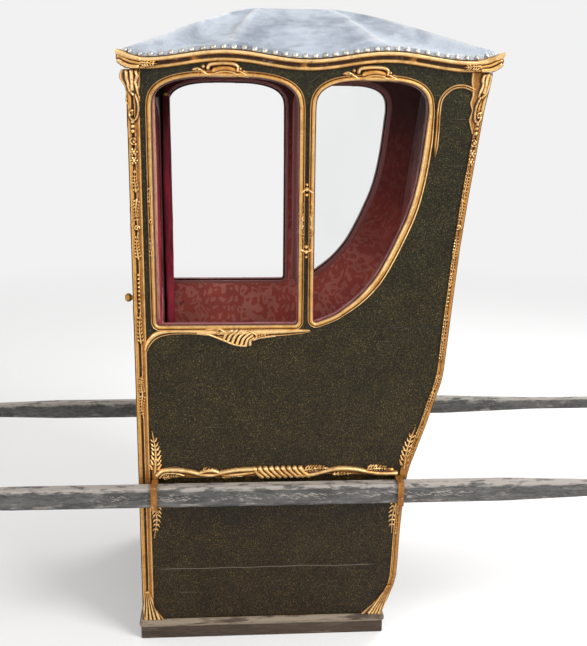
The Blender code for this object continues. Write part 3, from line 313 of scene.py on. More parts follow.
def plinth_rings():
    low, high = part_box("plinth")
    rings = []
    for inset, height in PLINTH_SECTION:
        radius = max(PLINTH_CORNER - inset, 0.0005)
        ring = []
        for turn in range(4):
            x = high[0] - inset - radius if turn in (0, 3) else low[0] + inset + radius
            y = high[1] - inset - radius if turn in (0, 1) else low[1] + inset + radius
            for step in range(6):
                angle = math.pi / 2 * (turn + step / 5)
                ring.append((x + radius * math.cos(angle), y + radius * math.sin(angle), height))
        rings.append(ring)
    return np.array(rings).transpose(1, 0, 2)


def worn_wood_effect():
    """Old wood: long grain, dark pores, and a paler colour where the Wear input is high: scuffing where it is rubbed,
    and painted light where a piece's marks carry it.
    """
    tree, takes, gives = new_effect("worn_wood", [
        ("Vector", "NodeSocketVector", None), ("Dark", "NodeSocketColor", None), ("Light", "NodeSocketColor", None),
        ("Worn", "NodeSocketColor", None), ("Wear", "NodeSocketFloat", 0.3),
    ], [("Color", "NodeSocketColor"), ("Height", "NodeSocketFloat"), ("Roughness", "NodeSocketFloat")])
    spot = takes.outputs["Vector"]
    grain = cloud(tree, spot, 60.0, 5.0, 0.65)
    broad = cloud(tree, spot, 9.0, 2.0, 0.5, 0.6)
    pores = cloud(tree, spot, 240.0, 2.0, 0.6)
    both = product(tree, product(tree, grain, 0.6), product(tree, broad, 0.4), "ADD")
    share = span(tree, both, 0.36, 0.64)
    colour = blend(tree, share, takes.outputs["Dark"], takes.outputs["Light"])
    colour = darkened(tree, colour, span(tree, pores, 0.30, 0.42, 0.55, 1.0))
    wear_and_painted_light = product(tree, product(tree, takes.outputs["Wear"], 0.5, "SUBTRACT"), 0.34)
    wear_and_painted_light = product(tree, cloud(tree, spot, 22.0, 4.0, 0.7), wear_and_painted_light, "ADD")
    rub_and_painted_light = product(tree, span(tree, wear_and_painted_light, 0.50, 0.62), takes.outputs["Wear"])
    colour = blend(tree, rub_and_painted_light, colour, takes.outputs["Worn"])
    tree.links.new(colour, gives.inputs["Color"])
    tree.links.new(product(tree, grain, product(tree, pores, 0.4), "ADD"), gives.inputs["Height"])
    tree.links.new(span(tree, grain, 0.3, 0.7, 0.62, 0.80), gives.inputs["Roughness"])
    return tree


worn_wood = worn_wood_effect()


def wood_finish(name, stretch, dark, light, wear_and_painted_light, wear, depth, carved=True):
    """Wood that is rubbed pale on its crests where it is carved, and evenly where it isn't. The poles' marks also make
    their top faces paler, as painted light.
    """
    skin, tree, shader = new_finish(name, 0.7)
    made = wire(tree, "ShaderNodeGroup", node_tree=worn_wood)
    tree.links.new(place_in(tree, stretch), made.inputs["Vector"])
    for label, colour in (("Dark", dark), ("Light", light), ("Worn", wear_and_painted_light)):
        made.inputs[label].default_value = colour
    made.inputs["Wear"].default_value = wear
    if carved:
        # The relief marks drive the paler colour: rubbing on the plinth's top and on carved crests, and painted light
        # on the poles' top faces.
        rubbed_and_painted_light = wire(tree, "ShaderNodeAttribute", attribute_name="relief").outputs["Fac"]
        tree.links.new(span(tree, rubbed_and_painted_light, 0.35, 0.85, wear * 0.4, wear), made.inputs["Wear"])
    tree.links.new(made.outputs["Color"], shader.inputs["Base Color"])
    tree.links.new(made.outputs["Roughness"], shader.inputs["Roughness"])
    bump(tree, shader, made.outputs["Height"], depth)
    return skin


plinth_finish = wood_finish(
    "plinth_paint", (0.35, 1.0, 3.0), tint(54, 42, 32), tint(92, 75, 60), tint(158, 142, 122), 0.8, 0.0006
)
chunk = lofted(plinth_rings(), closed=True)
rubbed_top = np.where(chunk[0][:, 2] > PLINTH_RUBBED, 0.85, 0.35)
chunk = (*chunk[:2], rubbed_top)
add_piece("plinth_moulded", [chunk], plinth_finish, "chair_body", ["plinth"])


# The floor board and the seat's box
# Plain pine boards inside the cabin, left bare and darkened by use. The seat's box hides the space below it.
INNER_WOOD_NODES = ("floor_board", "seat_bench")


def refinish(node, skin, rounding=0.0):
    """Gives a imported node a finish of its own, and softens its edges a little."""
    piece = nodes[node]
    piece.data.materials.clear()
    piece.data.materials.append(skin)
    if rounding:
        edge = piece.modifiers.new("soft_edges", "BEVEL")
        edge.width = rounding
        edge.segments = 2
        edge.limit_method = "ANGLE"
        edge.angle_limit = math.radians(40.0)
        edge.harden_normals = False


inner_finish = wood_finish(
    "inner_pine", (0.35, 2.0, 2.0), tint(74, 52, 34), tint(118, 86, 56), tint(150, 118, 84), 0.3, 0.0005, False
)
for node in INNER_WOOD_NODES:
    refinish(node, inner_finish, 0.0015)


# The panels
# Thin limewood boards coated with dark green-black varnish, strewn with fine bronze powder under the last
# coats. Two centuries have cracked the boards along their joints and chipped the varnish at the edges.
PANEL_NODES = ("side_panel_left", "side_panel_right", "back_panel", "back_rail", "door_lintel", "door_panel")
# Open joints of the side boards: height, where they run from and to along the chair
BOARD_JOINTS = ((0.888, 0.10, 0.46, (14, 12, 9)), (0.207, -0.34, 0.27, (124, 112, 100)))


def varnish_effect():
    """Dark varnish with bronze powder, cloudy with age, scratched and chipped."""
    tree, takes, gives = new_effect("bronze_varnish", [
        ("Vector", "NodeSocketVector", None),
    ], [("Color", "NodeSocketColor"), ("Height", "NodeSocketFloat"), ("Roughness", "NodeSocketFloat")])
    spot = takes.outputs["Vector"]
    flecks = product(tree, product(tree, cloud(tree, spot, 900.0, 1.0), 0.4),
                     product(tree, cloud(tree, spot, 480.0, 2.0, 0.8), 0.6), "ADD")
    colour = ramp(tree, flecks, [
        (0.38, tint(12, 10, 5)), (0.49, tint(27, 24, 12)), (0.55, tint(42, 37, 19)), (0.60, tint(84, 75, 45)),
        (0.68, tint(170, 158, 114)),
    ])
    height = wire(tree, "ShaderNodeSeparateXYZ", {0: spot}).outputs[2]
    # The colour is warmed towards the bottom and turned greener towards the top, with broad cloudy patches.
    height_and_cloud = product(tree, height, product(tree, cloud(tree, spot, 3.0), 0.9), "ADD")
    shade = ramp(tree, span(tree, height_and_cloud, 0.4, 2.1), [
        (0.0, tint(255, 216, 186)), (0.45, tint(255, 240, 190)), (1.0, tint(228, 238, 226)),
    ])
    colour = toned(tree, colour, shade)
    colour = darkened(tree, colour, span(tree, cloud(tree, spot, 14.0, 4.0, 0.6), 0.35, 0.68, 0.72, 1.18))
    long = wire(tree, "ShaderNodeVectorMath", {0: spot, 1: (7.0, 7.0, 260.0)}, operation="MULTIPLY").outputs[0]
    scratch = product(tree, span(tree, cloud(tree, long, 1.0, 2.0), 0.70, 0.74),
                      span(tree, cloud(tree, spot, 6.0, 2.0), 0.50, 0.60))
    colour = blend(tree, product(tree, scratch, 0.30), colour, tint(128, 118, 92))
    chip = span(tree, cloud(tree, spot, 75.0, 3.0, 0.7), 0.735, 0.75)
    colour = blend(tree, chip, colour, tint(116, 62, 40))
    tree.links.new(colour, gives.inputs["Color"])
    dent = product(tree, product(tree, scratch, -0.6), product(tree, chip, -0.9), "ADD")
    tree.links.new(product(tree, dent, product(tree, flecks, 0.35), "ADD"), gives.inputs["Height"])
    rough = product(tree, span(tree, cloud(tree, spot, 30.0, 3.0), 0.3, 0.7, 0.30, 0.46),
                    product(tree, chip, 0.3), "ADD")
    tree.links.new(rough, gives.inputs["Roughness"])
    return tree


bronze_varnish = varnish_effect()


def panel_finish(name, joints=()):
    skin, tree, shader = new_finish(name, 0.4, Coat_Weight=0.05, Coat_Roughness=0.22, Specular_IOR_Level=0.22)
    spot = place_in(tree)
    made = wire(tree, "ShaderNodeGroup", {"Vector": spot}, node_tree=bronze_varnish)
    colour, height = made.outputs["Color"], made.outputs["Height"]
    part = wire(tree, "ShaderNodeSeparateXYZ", {0: spot}).outputs
    wander = product(tree, cloud(tree, spot, 9.0, 4.0), 0.012)
    for level, start, end, shade in joints:
        away = product(tree, product(tree, part[2], wander, "SUBTRACT"), level - 0.006, "SUBTRACT")
        away = wire(tree, "ShaderNodeMath", {0: away}, operation="ABSOLUTE").outputs[0]
        line = span(tree, away, 0.0, 0.0016, 1.0, 0.0)
        line = product(tree, line, span(tree, part[0], start, start + 0.03))
        line = product(tree, line, span(tree, part[0], end - 0.03, end, 1.0, 0.0))
        colour = blend(tree, line, colour, tint(*shade))
        height = product(tree, height, product(tree, line, -1.5), "ADD")
    tree.links.new(colour, shader.inputs["Base Color"])
    tree.links.new(made.outputs["Roughness"], shader.inputs["Roughness"])
    bump(tree, shader, height, 0.0006)
    return skin


side_finish = panel_finish("varnished_sides", BOARD_JOINTS)
plain_finish = panel_finish("varnished_ends")
for node in PANEL_NODES:
    refinish(node, side_finish if node.startswith("side") else plain_finish, 0.0008)


# The window mouldings
# Carved limewood frames, water-gilt over red bole: a round ridge with a thin bead outside it. Short stretches
# and the cartouches on the heads are carved with leaves. They are glued and pinned round the openings.
MOULDING_WIDTH = 0.015
MOULDING_PROUD = 0.010
MOULDING_LEVEL = 0.3328
FRAME_STEP, FINE_CUT = 0.0035, 0.0013
GILT_DEPTH = 0.0003
FRONT_CARTOUCHE, REAR_CARTOUCHE = (-0.1375, 1.5385), (0.232, 1.5325)
REAR_CURVE_SWELL = 0.0065
SIDES = (("left", -1.0), ("right", 1.0))
# Across a moulding from the opening outwards: share of the width, share of the height
FRAME_SECTION = [
    (0.0, 0.0), (0.02, 0.40), (0.08, 0.66), (0.16, 0.90), (0.28, 1.0), (0.42, 0.97), (0.54, 0.84), (0.63, 0.66),
    (0.69, 0.50), (0.73, 0.40), (0.77, 0.52), (0.83, 0.68), (0.90, 0.66), (0.96, 0.46), (0.985, 0.25), (1.0, 0.0),
]


def smooth(line, step, closed=False, count=None):
    """A smooth line through the given flat places, redrawn in even steps or with a given number of them."""
    line = np.asarray(line, float)
    start = line if closed else line[:-1]
    run = (np.roll(line, -1, axis=0) if closed else line[1:]) - start
    length = np.hypot(*run.T)[:, None]
    lean = run + np.roll(run, 1, axis=0) if closed else np.vstack([run[:1], run[1:] + run[:-1], run[-1:]])
    lean /= np.maximum(np.hypot(*lean.T), 1e-6)[:, None]
    first = lean[: len(start)]
    last = np.roll(lean, -1, axis=0) if closed else lean[1:]
    drawn = []
    for t in np.linspace(0.0, 1.0, 12, endpoint=False):
        drawn.append(
            (2 * t**3 - 3 * t**2 + 1) * start + (t**3 - 2 * t**2 + t) * length * first
            + (3 * t**2 - 2 * t**3) * (start + run) + (t**3 - t**2) * length * last
        )
    drawn = np.stack(drawn, axis=1).reshape(-1, 2)
    drawn = np.vstack([drawn, line[:1] if closed else line[-1:]])
    gone = np.concatenate([[0.0], np.cumsum(np.hypot(*np.diff(drawn, axis=0).T))])
    count = count or max(2, round(gone[-1] / step))
    places = np.linspace(0.0, gone[-1], count + 1)
    if closed:
        places = places[:-1]
    return np.stack([np.interp(places, gone, drawn[:, k]) for k in (0, 1)], axis=1)


def lefts(line, closed=False):
    """The way to the left of a flat line at each of its places."""
    if closed:
        run = np.roll(line, -1, axis=0) - np.roll(line, 1, axis=0)
    else:
        run = np.gradient(line, axis=0)
    run /= np.hypot(*run.T)[:, None]
    return np.stack([-run[:, 1], run[:, 0]], axis=1)


def outwards(line):
    """The way out of a closed flat line at each of its places."""
    out = lefts(line, closed=True)
    return -out if ((line - line.mean(axis=0)) * out).sum() < 0 else out


def rims(node, axis, way):
    """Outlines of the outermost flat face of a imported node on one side, as flat places, the longest first."""
    mesh = nodes[node].data
    level = max(way * vertex.co[axis] for vertex in mesh.vertices)
    flat = [k for k in range(3) if k != axis]
    follows = {}
    edges = set()
    for face in mesh.polygons:
        spots = [mesh.vertices[i].co for i in face.vertices]
        if any(abs(way * spot[axis] - level) > 1e-4 for spot in spots):
            continue
        spots = [(round(spot[flat[0]], 5), round(spot[flat[1]], 5)) for spot in spots]
        edges.update((spot, spots[(i + 1) % len(spots)]) for i, spot in enumerate(spots))
    for start, end in edges:
        if (end, start) not in edges:
            follows[start] = end
    loops = []
    while follows:
        first = spot = min(follows)
        loop = []
        while spot in follows:
            loop.append(spot)
            spot = follows.pop(spot)
        if spot == first and len(loop) > 2:
            loops.append(np.array(loop))
    return sorted(loops, key=lambda loop: -np.ptp(loop, axis=0).sum())


def kept_corners(loop):
    """The outline without the places that lie on a straight line between their neighbours."""
    before, after = loop - np.roll(loop, 1, axis=0), np.roll(loop, -1, axis=0) - loop
    turn = before[:, 0] * after[:, 1] - before[:, 1] * after[:, 0]
    return loop[np.abs(turn) > 1e-7]


def ridge_height(flat, strokes):
    """Height of the highest stroke at each flat place. A stroke is its places, half widths and heights."""
    high = np.zeros(flat.shape[:-1])
    x, z = flat[..., 0], flat[..., 1]
    for spots, widths, heights in strokes:
        spots = np.asarray(spots, float)
        widths = np.broadcast_to(widths, len(spots))
        heights = np.broadcast_to(heights, len(spots))
        for i in range(len(spots) - 1):
            (x0, z0), (x1, z1) = spots[i], spots[i + 1]
            reach = max(widths[i], widths[i + 1])
            near = (x > min(x0, x1) - reach) & (x < max(x0, x1) + reach)
            near &= (z > min(z0, z1) - reach) & (z < max(z0, z1) + reach)
            if not near.any():
                continue
            dx, dz = x1 - x0, z1 - z0
            here_x, here_z = x[near] - x0, z[near] - z0
            share = np.clip((here_x * dx + here_z * dz) / max(dx * dx + dz * dz, 1e-12), 0.0, 1.0)
            away = np.hypot(here_x - share * dx, here_z - share * dz)
            wide = widths[i] + (widths[i + 1] - widths[i]) * share
            tall = heights[i] + (heights[i + 1] - heights[i]) * share
            bar = tall * np.sqrt(np.clip(1 - (away / np.maximum(wide, 1e-6)) ** 2, 0.0, None))
            high[near] = np.maximum(high[near], bar)
    return high


def relief_marks(high, closed=False):
    """How far each place stands above its surroundings, from 0 in a hollow to 1 on a crest."""
    soft = high.copy()
    for _ in range(5):
        pad = np.pad(soft, 1, mode="edge")
        if closed:
            pad[0, 1:-1], pad[-1, 1:-1] = soft[-1], soft[0]
        soft = (pad[:-2, 1:-1] + pad[2:, 1:-1] + pad[1:-1, :-2] + pad[1:-1, 2:] + 2 * soft) / 6
    return np.clip(0.42 + (high - soft) / 0.0022 + 0.25 * (high / max(high.max(), 1e-6) - 0.5), 0.0, 1.0)


def band(starts, ends, ground, strokes, place, depth=0.0, closed=False, body=None):
    """A closed carved strip. Its rows run from starts to ends, its ground rises across them and the strokes
    stand on it. A depth gives it a solid back, kept between the body's two edges where those are given."""
    wide = ground.shape[1]
    share = np.linspace(0.0, 1.0, wide)[None, :, None]
    flat = starts[:, None] * (1 - share) + ends[:, None] * share
    high = ridge_height(flat, strokes)
    high = np.maximum(ground, high)
    high[:, 0] = high[:, -1] = 0.0
    rows = place(flat, high)
    marks = relief_marks(high, closed)
    if depth:
        far_start, far_end = body or (starts, ends)
        back = np.stack([far_end, far_end, far_start, far_start], axis=1)
        sunk = np.broadcast_to(np.array([0.0, -depth, -depth, 0.0]), back.shape[:2])
        rows = np.concatenate([rows, place(back, sunk)], axis=1)
        marks = np.concatenate([marks, np.full(back.shape[:2], 0.35)], axis=1)
    points, faces, _ = lofted(rows, closed)
    return points, faces, marks.reshape(-1)


def carving(strokes, place, step=0.0016):
    """A closed carving whose outline is that of its strokes, seated on the level where they stand."""
    spots = np.vstack([np.asarray(stroke[0], float) for stroke in strokes])
    reach = max(np.max(stroke[1]) for stroke in strokes) + 2 * step
    low, high = spots.min(axis=0) - reach, spots.max(axis=0) + reach
    x, z = np.meshgrid(np.arange(low[0], high[0], step), np.arange(low[1], high[1], step), indexing="ij")
    flat = np.stack([x, z], axis=-1)
    rise = ridge_height(flat, strokes)
    rise[0] = rise[-1] = rise[:, 0] = rise[:, -1] = 0.0
    marks = relief_marks(rise)
    index = np.arange(rise.size).reshape(rise.shape)
    quads = np.stack([index[:-1, :-1], index[1:, :-1], index[1:, 1:], index[:-1, 1:]], axis=-1).reshape(-1, 4)
    up = rise.reshape(-1) > 0
    quads = quads[up[quads].any(axis=1)]
    under = np.where(up, np.arange(rise.size) + rise.size, np.arange(rise.size))
    flat, rise, marks = flat.reshape(-1, 2), rise.reshape(-1), marks.reshape(-1)
    points = np.vstack([place(flat, rise), place(flat, np.zeros_like(rise))])
    every = np.vstack([quads, under[quads][:, ::-1]])
    used, renamed = np.unique(every, return_inverse=True)
    every = renamed.reshape(-1, 4)
    marks = np.concatenate([marks, np.full(len(marks), 0.3)])[used]
    points = points[used]
    return points, facing_out(points, every), marks


def on_side(way, level=MOULDING_LEVEL):
    """Places on a side of the chair: flat ones are along the chair and up, and height stands out sideways."""
    def place(flat, rise):
        return np.stack([flat[..., 0], way * (level + rise), flat[..., 1]], axis=-1)
    return place


def across_frame(section, wide):
    """Heights across a moulding, at evenly spread places, from its section."""
    shares, heights = zip(*section)
    return np.interp(np.linspace(0.0, 1.0, wide), shares, heights)


def frond(spine, width, height, lobes=5):
    """A leaf along a bent spine: a rib, and lobes that lean forward and shrink towards the tip."""
    spine = smooth(spine, 0.002)
    ways = lefts(spine)
    count = len(spine)
    taper = np.linspace(1.0, 0.35, count)
    strokes = [(spine, width * 0.20 * taper, height * (0.75 + 0.25 * taper))]
    for i in range(lobes):
        at = int(count * (0.06 + 0.80 * i / lobes))
        size = width * (1.0 - 0.50 * i / lobes)
        ahead = np.array([ways[at][1], -ways[at][0]])
        for side in (1.0, -1.0):
            root = spine[at]
            middle = root + side * ways[at] * size * 0.42 + ahead * size * 0.20
            tip = root + side * ways[at] * size * 0.68 + ahead * size * 0.72
            strokes.append(([root, middle, tip], [size * 0.20, size * 0.22, size * 0.10],
                            [height * 0.72, height * 0.80, height * 0.42]))
    return strokes


def curl(centre, radius, start, turns, width, height):
    """A scroll: a bar wound in towards a round eye. Negative turns wind it clockwise."""
    angles = start + np.linspace(0.0, 2 * math.pi * turns, 26)
    reach = radius * np.linspace(1.0, 0.30, 26)
    spots = np.stack([centre[0] + reach * np.cos(angles), centre[1] + reach * np.sin(angles)], axis=1)
    eye = ([centre, np.asarray(centre) + 1e-5], radius * 0.30, height * 1.05)
    return [(spots, width * np.linspace(1.0, 0.6, 26), height * np.linspace(0.85, 1.0, 26)), eye]


def knob(centre, radius, height):
    return [([centre, np.asarray(centre) + 1e-5], radius, height)]



def gilding_effect():
    """Old gilding: cream on the crests as painted highlight, brown in the hollows as dirt and painted shade, rubbed
    through to red bole and grey ground.
    """
    tree, takes, gives = new_effect("old_gilding", [
        ("Vector", "NodeSocketVector", None), ("Relief", "NodeSocketFloat", 0.5), ("Wear", "NodeSocketFloat", 0.5),
    ], [("Color", "NodeSocketColor"), ("Roughness", "NodeSocketFloat"), ("Metallic", "NodeSocketFloat"),
        ("Height", "NodeSocketFloat")])
    spot, relief = takes.outputs["Vector"], takes.outputs["Relief"]
    patch = cloud(tree, spot, 26.0, 4.0, 0.65)
    fine = cloud(tree, spot, 160.0, 3.0, 0.6)
    level = product(tree, relief, product(tree, product(tree, fine, 0.5, "SUBTRACT"), 0.30), "ADD")
    # Painted light: the relief marks darken the hollows as shade as well as dirt, and turn the crests cream as a
    # highlight.
    colour = ramp(tree, level, [
        (0.10, tint(46, 26, 12)), (0.28, tint(106, 66, 28)), (0.46, tint(178, 124, 58)),
        (0.64, tint(216, 168, 94)), (0.84, tint(248, 218, 164)),
    ])
    tone = ramp(tree, patch, [(0.30, tint(214, 188, 150)), (0.52, tint(255, 250, 240)), (0.72, tint(255, 236, 205))])
    colour = toned(tree, colour, tone)
    bare = product(tree, span(tree, cloud(tree, spot, 48.0, 5.0, 0.72), 0.55, 0.64), takes.outputs["Wear"])
    bole = ramp(tree, fine, [(0.40, tint(96, 54, 34)), (0.52, tint(150, 104, 76)), (0.62, tint(222, 190, 156))])
    colour = blend(tree, bare, colour, bole)
    tree.links.new(colour, gives.inputs["Color"])
    rough = span(tree, level, 0.1, 0.9, 0.62, 0.34)
    tree.links.new(product(tree, rough, product(tree, bare, 0.25), "ADD"), gives.inputs["Roughness"])
    bright = span(tree, level, 0.15, 0.60, 0.20, 0.72)
    tree.links.new(product(tree, bright, span(tree, bare, 0.0, 1.0, 1.0, 0.1)), gives.inputs["Metallic"])
    tree.links.new(product(tree, fine, product(tree, bare, -0.7), "ADD"), gives.inputs["Height"])
    return tree


old_gilding = gilding_effect()


def gilt_finish(name, wear, carved=True):
    skin, tree, shader = new_finish(name, 0.45)
    relief = wire(tree, "ShaderNodeAttribute", attribute_name="relief").outputs["Fac"] if carved else 0.42
    made = wire(tree, "ShaderNodeGroup", {"Vector": place_in(tree), "Relief": relief, "Wear": wear},
                node_tree=old_gilding)
    tree.links.new(made.outputs["Color"], shader.inputs["Base Color"])
    tree.links.new(made.outputs["Roughness"], shader.inputs["Roughness"])
    tree.links.new(made.outputs["Metallic"], shader.inputs["Metallic"])
    bump(tree, shader, made.outputs["Height"], GILT_DEPTH)
    return skin


moulding_gilt = gilt_finish("moulding_gilt", 0.35)


def gild(name, chunks, node, body="chair_body"):
    """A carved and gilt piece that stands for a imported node."""
    add_piece(name, chunks, moulding_gilt, body, [node])


def framed(loop, width, section, step, place, strokes=(), swell=None, proud=MOULDING_PROUD):
    """A moulding round an opening's outline. Its section runs outwards from the opening."""
    line = smooth(kept_corners(loop), step, closed=True)
    out = outwards(line)
    width = np.full(len(line), width)
    if swell is not None:
        width += swell(line)
    ground = np.broadcast_to(across_frame(section, 16) * proud, (len(line), 16)).copy()
    return band(line, line + out * width[:, None], ground, list(strokes), place, closed=True)


def cartouche(centre):
    """The carving on a window's head: a smooth dish under a broad rolled rim, a scrolled leaf to its left and a
    small curl to its right."""
    def line(*places):
        return smooth([(centre[0] + across, centre[1] + up) for across, up in places], 0.003)
    strokes = [
        (line((-0.0428, 0.0035), (-0.0400, 0.0104), (-0.0270, 0.0136), (-0.0032, 0.0148), (0.0190, 0.0134),
              (0.0300, 0.0072), (0.0292, -0.0020)), 0.0048, 0.0134),
        (line((-0.0250, -0.0035), (0.0, 0.0020), (0.0220, -0.0035)), 0.0098, 0.0094),
        (line((-0.0340, -0.0130), (-0.0180, -0.0066), (0.0, -0.0044), (0.0170, -0.0066), (0.0300, -0.0130)),
         0.0030, 0.0122),
        (line((-0.0780, 0.0000), (-0.0670, 0.0020), (-0.0550, -0.0045), (-0.0437, -0.0120), (-0.0324, -0.0135)),
         0.0034, 0.0108),
        (line((0.0335, -0.0030), (0.0430, -0.0080), (0.0518, -0.0135)), 0.0030, 0.0104),
        (line((-0.0600, -0.0150), (0.0, -0.0142), (0.0550, -0.0155)), 0.0030, 0.0080),
    ]
    for across, up, radius in ((-0.0540, 0.0070, 0.0046), (-0.0646, -0.0010, 0.0034), (0.0363, 0.0022, 0.0042)):
        strokes += knob((centre[0] + across, centre[1] + up), radius, 0.0120)
    strokes += frond(line((-0.0480, -0.0110), (-0.0640, -0.0040), (-0.0820, -0.0010)), 0.012, 0.0098, 4)
    strokes += frond(line((0.0400, -0.0060), (0.0480, -0.0090), (0.0570, -0.0130)), 0.010, 0.0098, 3)
    return strokes


def front_frame_strokes():
    """Leaves carved on the jamb beside the front post."""
    strokes = []
    for low, high in ((1.076, 1.141), (1.253, 1.191)):
        strokes += frond([(-0.3265, low), (-0.3290, (low + high) / 2), (-0.3260, high)], 0.012, 0.012, 5)
    strokes += curl((-0.3275, 1.167), 0.0065, 0.0, 1.1, 0.0026, 0.0125)
    return strokes


def rear_frame_strokes(line_at):
    """Leaves carved on the middle of the rear window's curved edge."""
    strokes = []
    for start, end in ((0.30, 0.47), (0.68, 0.51)):
        spots = [line_at(start), line_at((start + end) / 2), line_at(end)]
        strokes += frond(spots, 0.017, 0.0125, 6)
    strokes += knob(line_at(0.49), 0.006, 0.013)
    return strokes


def rear_swell(line):
    """The rear frame grows wider along its curved edge."""
    share = np.clip((line[:, 0] - 0.13) / 0.12, 0.0, 1.0) * np.clip((1.46 - line[:, 1]) / 0.10, 0.0, 1.0)
    return REAR_CURVE_SWELL * share * share * (3 - 2 * share)


REAR_CARVING = [(0.345, 1.015), (0.376, 1.085), (0.398, 1.160), (0.412, 1.235), (0.418, 1.290)]


def on_rear_curve(share):
    line = smooth(REAR_CARVING, 0.002)
    return line[int(share * (len(line) - 1))] + (-0.009, 0.004)


# The grooved bead that climbs beside the rear frame and arches over to the rear post
HEAD_BEAD = [
    (0.3885, 1.330), (0.3913, 1.365), (0.3930, 1.400), (0.3934, 1.425), (0.3945, 1.450), (0.3979, 1.4713),
    (0.4095, 1.4884), (0.4266, 1.5007), (0.4440, 1.5049), (0.4603, 1.5034), (0.4836, 1.4939),
]
HEAD_BEAD_SECTION = [0.0, 0.75, 1.0, 0.85, 0.30, 0.30, 0.85, 1.0, 0.75, 0.0]
HEAD_BEAD_HALF, HEAD_BEAD_PROUD = 0.0056, 0.0065
openings = sorted(rims("side_panel_left", 1, -1.0)[1:], key=lambda loop: loop[:, 0].mean())
for name, way in SIDES:
    side = on_side(way)
    crown = carving(cartouche(FRONT_CARTOUCHE), side, FINE_CUT)
    chunk = framed(openings[0], MOULDING_WIDTH, FRAME_SECTION, FRAME_STEP, side, front_frame_strokes())
    gild(f"front_frame_{name}", [chunk, crown], f"front_window_moulding_{name}")
    crown = carving(cartouche(REAR_CARTOUCHE), side, FINE_CUT)
    strokes = rear_frame_strokes(on_rear_curve)
    chunk = framed(openings[1], MOULDING_WIDTH, FRAME_SECTION, FRAME_STEP, side, strokes, rear_swell)
    line = smooth(HEAD_BEAD, 0.004)
    out = lefts(line) * (HEAD_BEAD_HALF * np.clip(np.linspace(0.1, 8.0, len(line)), 0.1, 1.0))[:, None]
    ground = np.tile(np.array(HEAD_BEAD_SECTION) * HEAD_BEAD_PROUD, (len(line), 1))
    bead = band(line - out, line + out, ground, [], side)
    gild(f"rear_frame_{name}", [chunk, crown, bead], f"rear_window_moulding_{name}")


# The waist moulding and its shell
# A broad gilt band under the front window that curls down to the front post, with a shell of slanting
# flutes carved at its middle. It is glued to the panel below the window's own frame.
WAIST_LOWER = [
    (-0.3446, 0.830), (-0.3400, 0.8410), (-0.3274, 0.8566), (-0.3108, 0.8667), (-0.2810, 0.8732), (-0.2316, 0.8742),
    (-0.1921, 0.8698), (-0.1500, 0.8640), (-0.1000, 0.8620), (-0.0460, 0.8651), (0.0074, 0.8681), (0.0540, 0.8730),
    (0.0770, 0.8775),
]
WAIST_UPPER = [
    (-0.3545, 0.836), (-0.3510, 0.8520), (-0.3404, 0.8690), (-0.3285, 0.8800), (-0.3090, 0.8862), (-0.2316, 0.8872),
    (-0.1921, 0.8872), (-0.1500, 0.8872), (-0.1000, 0.8872), (-0.0460, 0.8872), (0.0074, 0.8872), (0.0540, 0.8868),
    (0.0770, 0.8850),
]
WAIST_SECTION = [
    (0.0, 0.0), (0.04, 0.30), (0.12, 0.42), (0.22, 0.38), (0.28, 0.30), (0.36, 0.55), (0.50, 0.90), (0.66, 1.0),
    (0.82, 0.85), (0.93, 0.55), (1.0, 0.0),
]


def shell():
    """A shell of broad flutes that slant down to the left, with a swirl at its upper left and a wing to each end."""
    strokes = []
    tops = [(-0.1257, 0.8836), (-0.1141, 0.8842), (-0.1025, 0.8834), (-0.0909, 0.8806), (-0.0810, 0.8764),
            (-0.0743, 0.8705), (-0.0710, 0.8636)]
    feet = [(-0.1474, 0.8625), (-0.1375, 0.8563), (-0.1259, 0.8513), (-0.1143, 0.8478), (-0.1027, 0.8449),
            (-0.0910, 0.8441), (-0.0794, 0.8464)]
    for top, foot in zip(tops, feet):
        middle = ((top[0] + foot[0]) / 2 - 0.0035, (top[1] + foot[1]) / 2 + 0.0030)
        strokes.append((smooth([top, middle, foot], 0.003), 0.0054, 0.0115))
    for line, width, height in (
        ([(-0.1920, 0.8880), (-0.1786, 0.8900), (-0.1588, 0.8892), (-0.1400, 0.8810), (-0.1290, 0.8850)], 0.0032, 0.0125),
        ([(-0.0909, 0.8850), (-0.0726, 0.8800), (-0.0620, 0.8690), (-0.0690, 0.8590)], 0.0032, 0.0125),
        ([(-0.2150, 0.8770), (-0.1920, 0.8759), (-0.1656, 0.8661), (-0.1392, 0.8549), (-0.1193, 0.8468),
          (-0.0927, 0.8431)], 0.0038, 0.0104),
        ([(-0.0700, 0.8584), (-0.0560, 0.8640), (-0.0380, 0.8665), (-0.0150, 0.8695)], 0.0036, 0.0108),
    ):
        strokes.append((smooth(line, 0.003), width, height))
    strokes += curl((-0.1600, 0.8800), 0.0085, 0.3, 1.2, 0.0034, 0.0125)
    strokes += frond([(-0.0640, 0.8660), (-0.0480, 0.8705), (-0.0290, 0.8740)], 0.012, 0.0112, 4)
    return strokes


for name, way in SIDES:
    side = on_side(way)
    lower, upper = smooth(WAIST_LOWER, 0.0, count=150), smooth(WAIST_UPPER, 0.0, count=150)
    ground = np.broadcast_to(across_frame(WAIST_SECTION, 13) * 0.0095, (len(lower), 13)).copy()
    run = band(lower, upper, ground, curl((-0.3330, 0.838), 0.004, 1.0, 0.8, 0.0022, 0.0115), side)
    gild(f"waist_band_{name}", [run, carving(shell(), side)], f"waist_moulding_{name}")


# The divider's clasp
# A gilt knot of leaves that seems to bind the two window frames together, with a dark lozenge left bare.
CLASP_X = 0.065


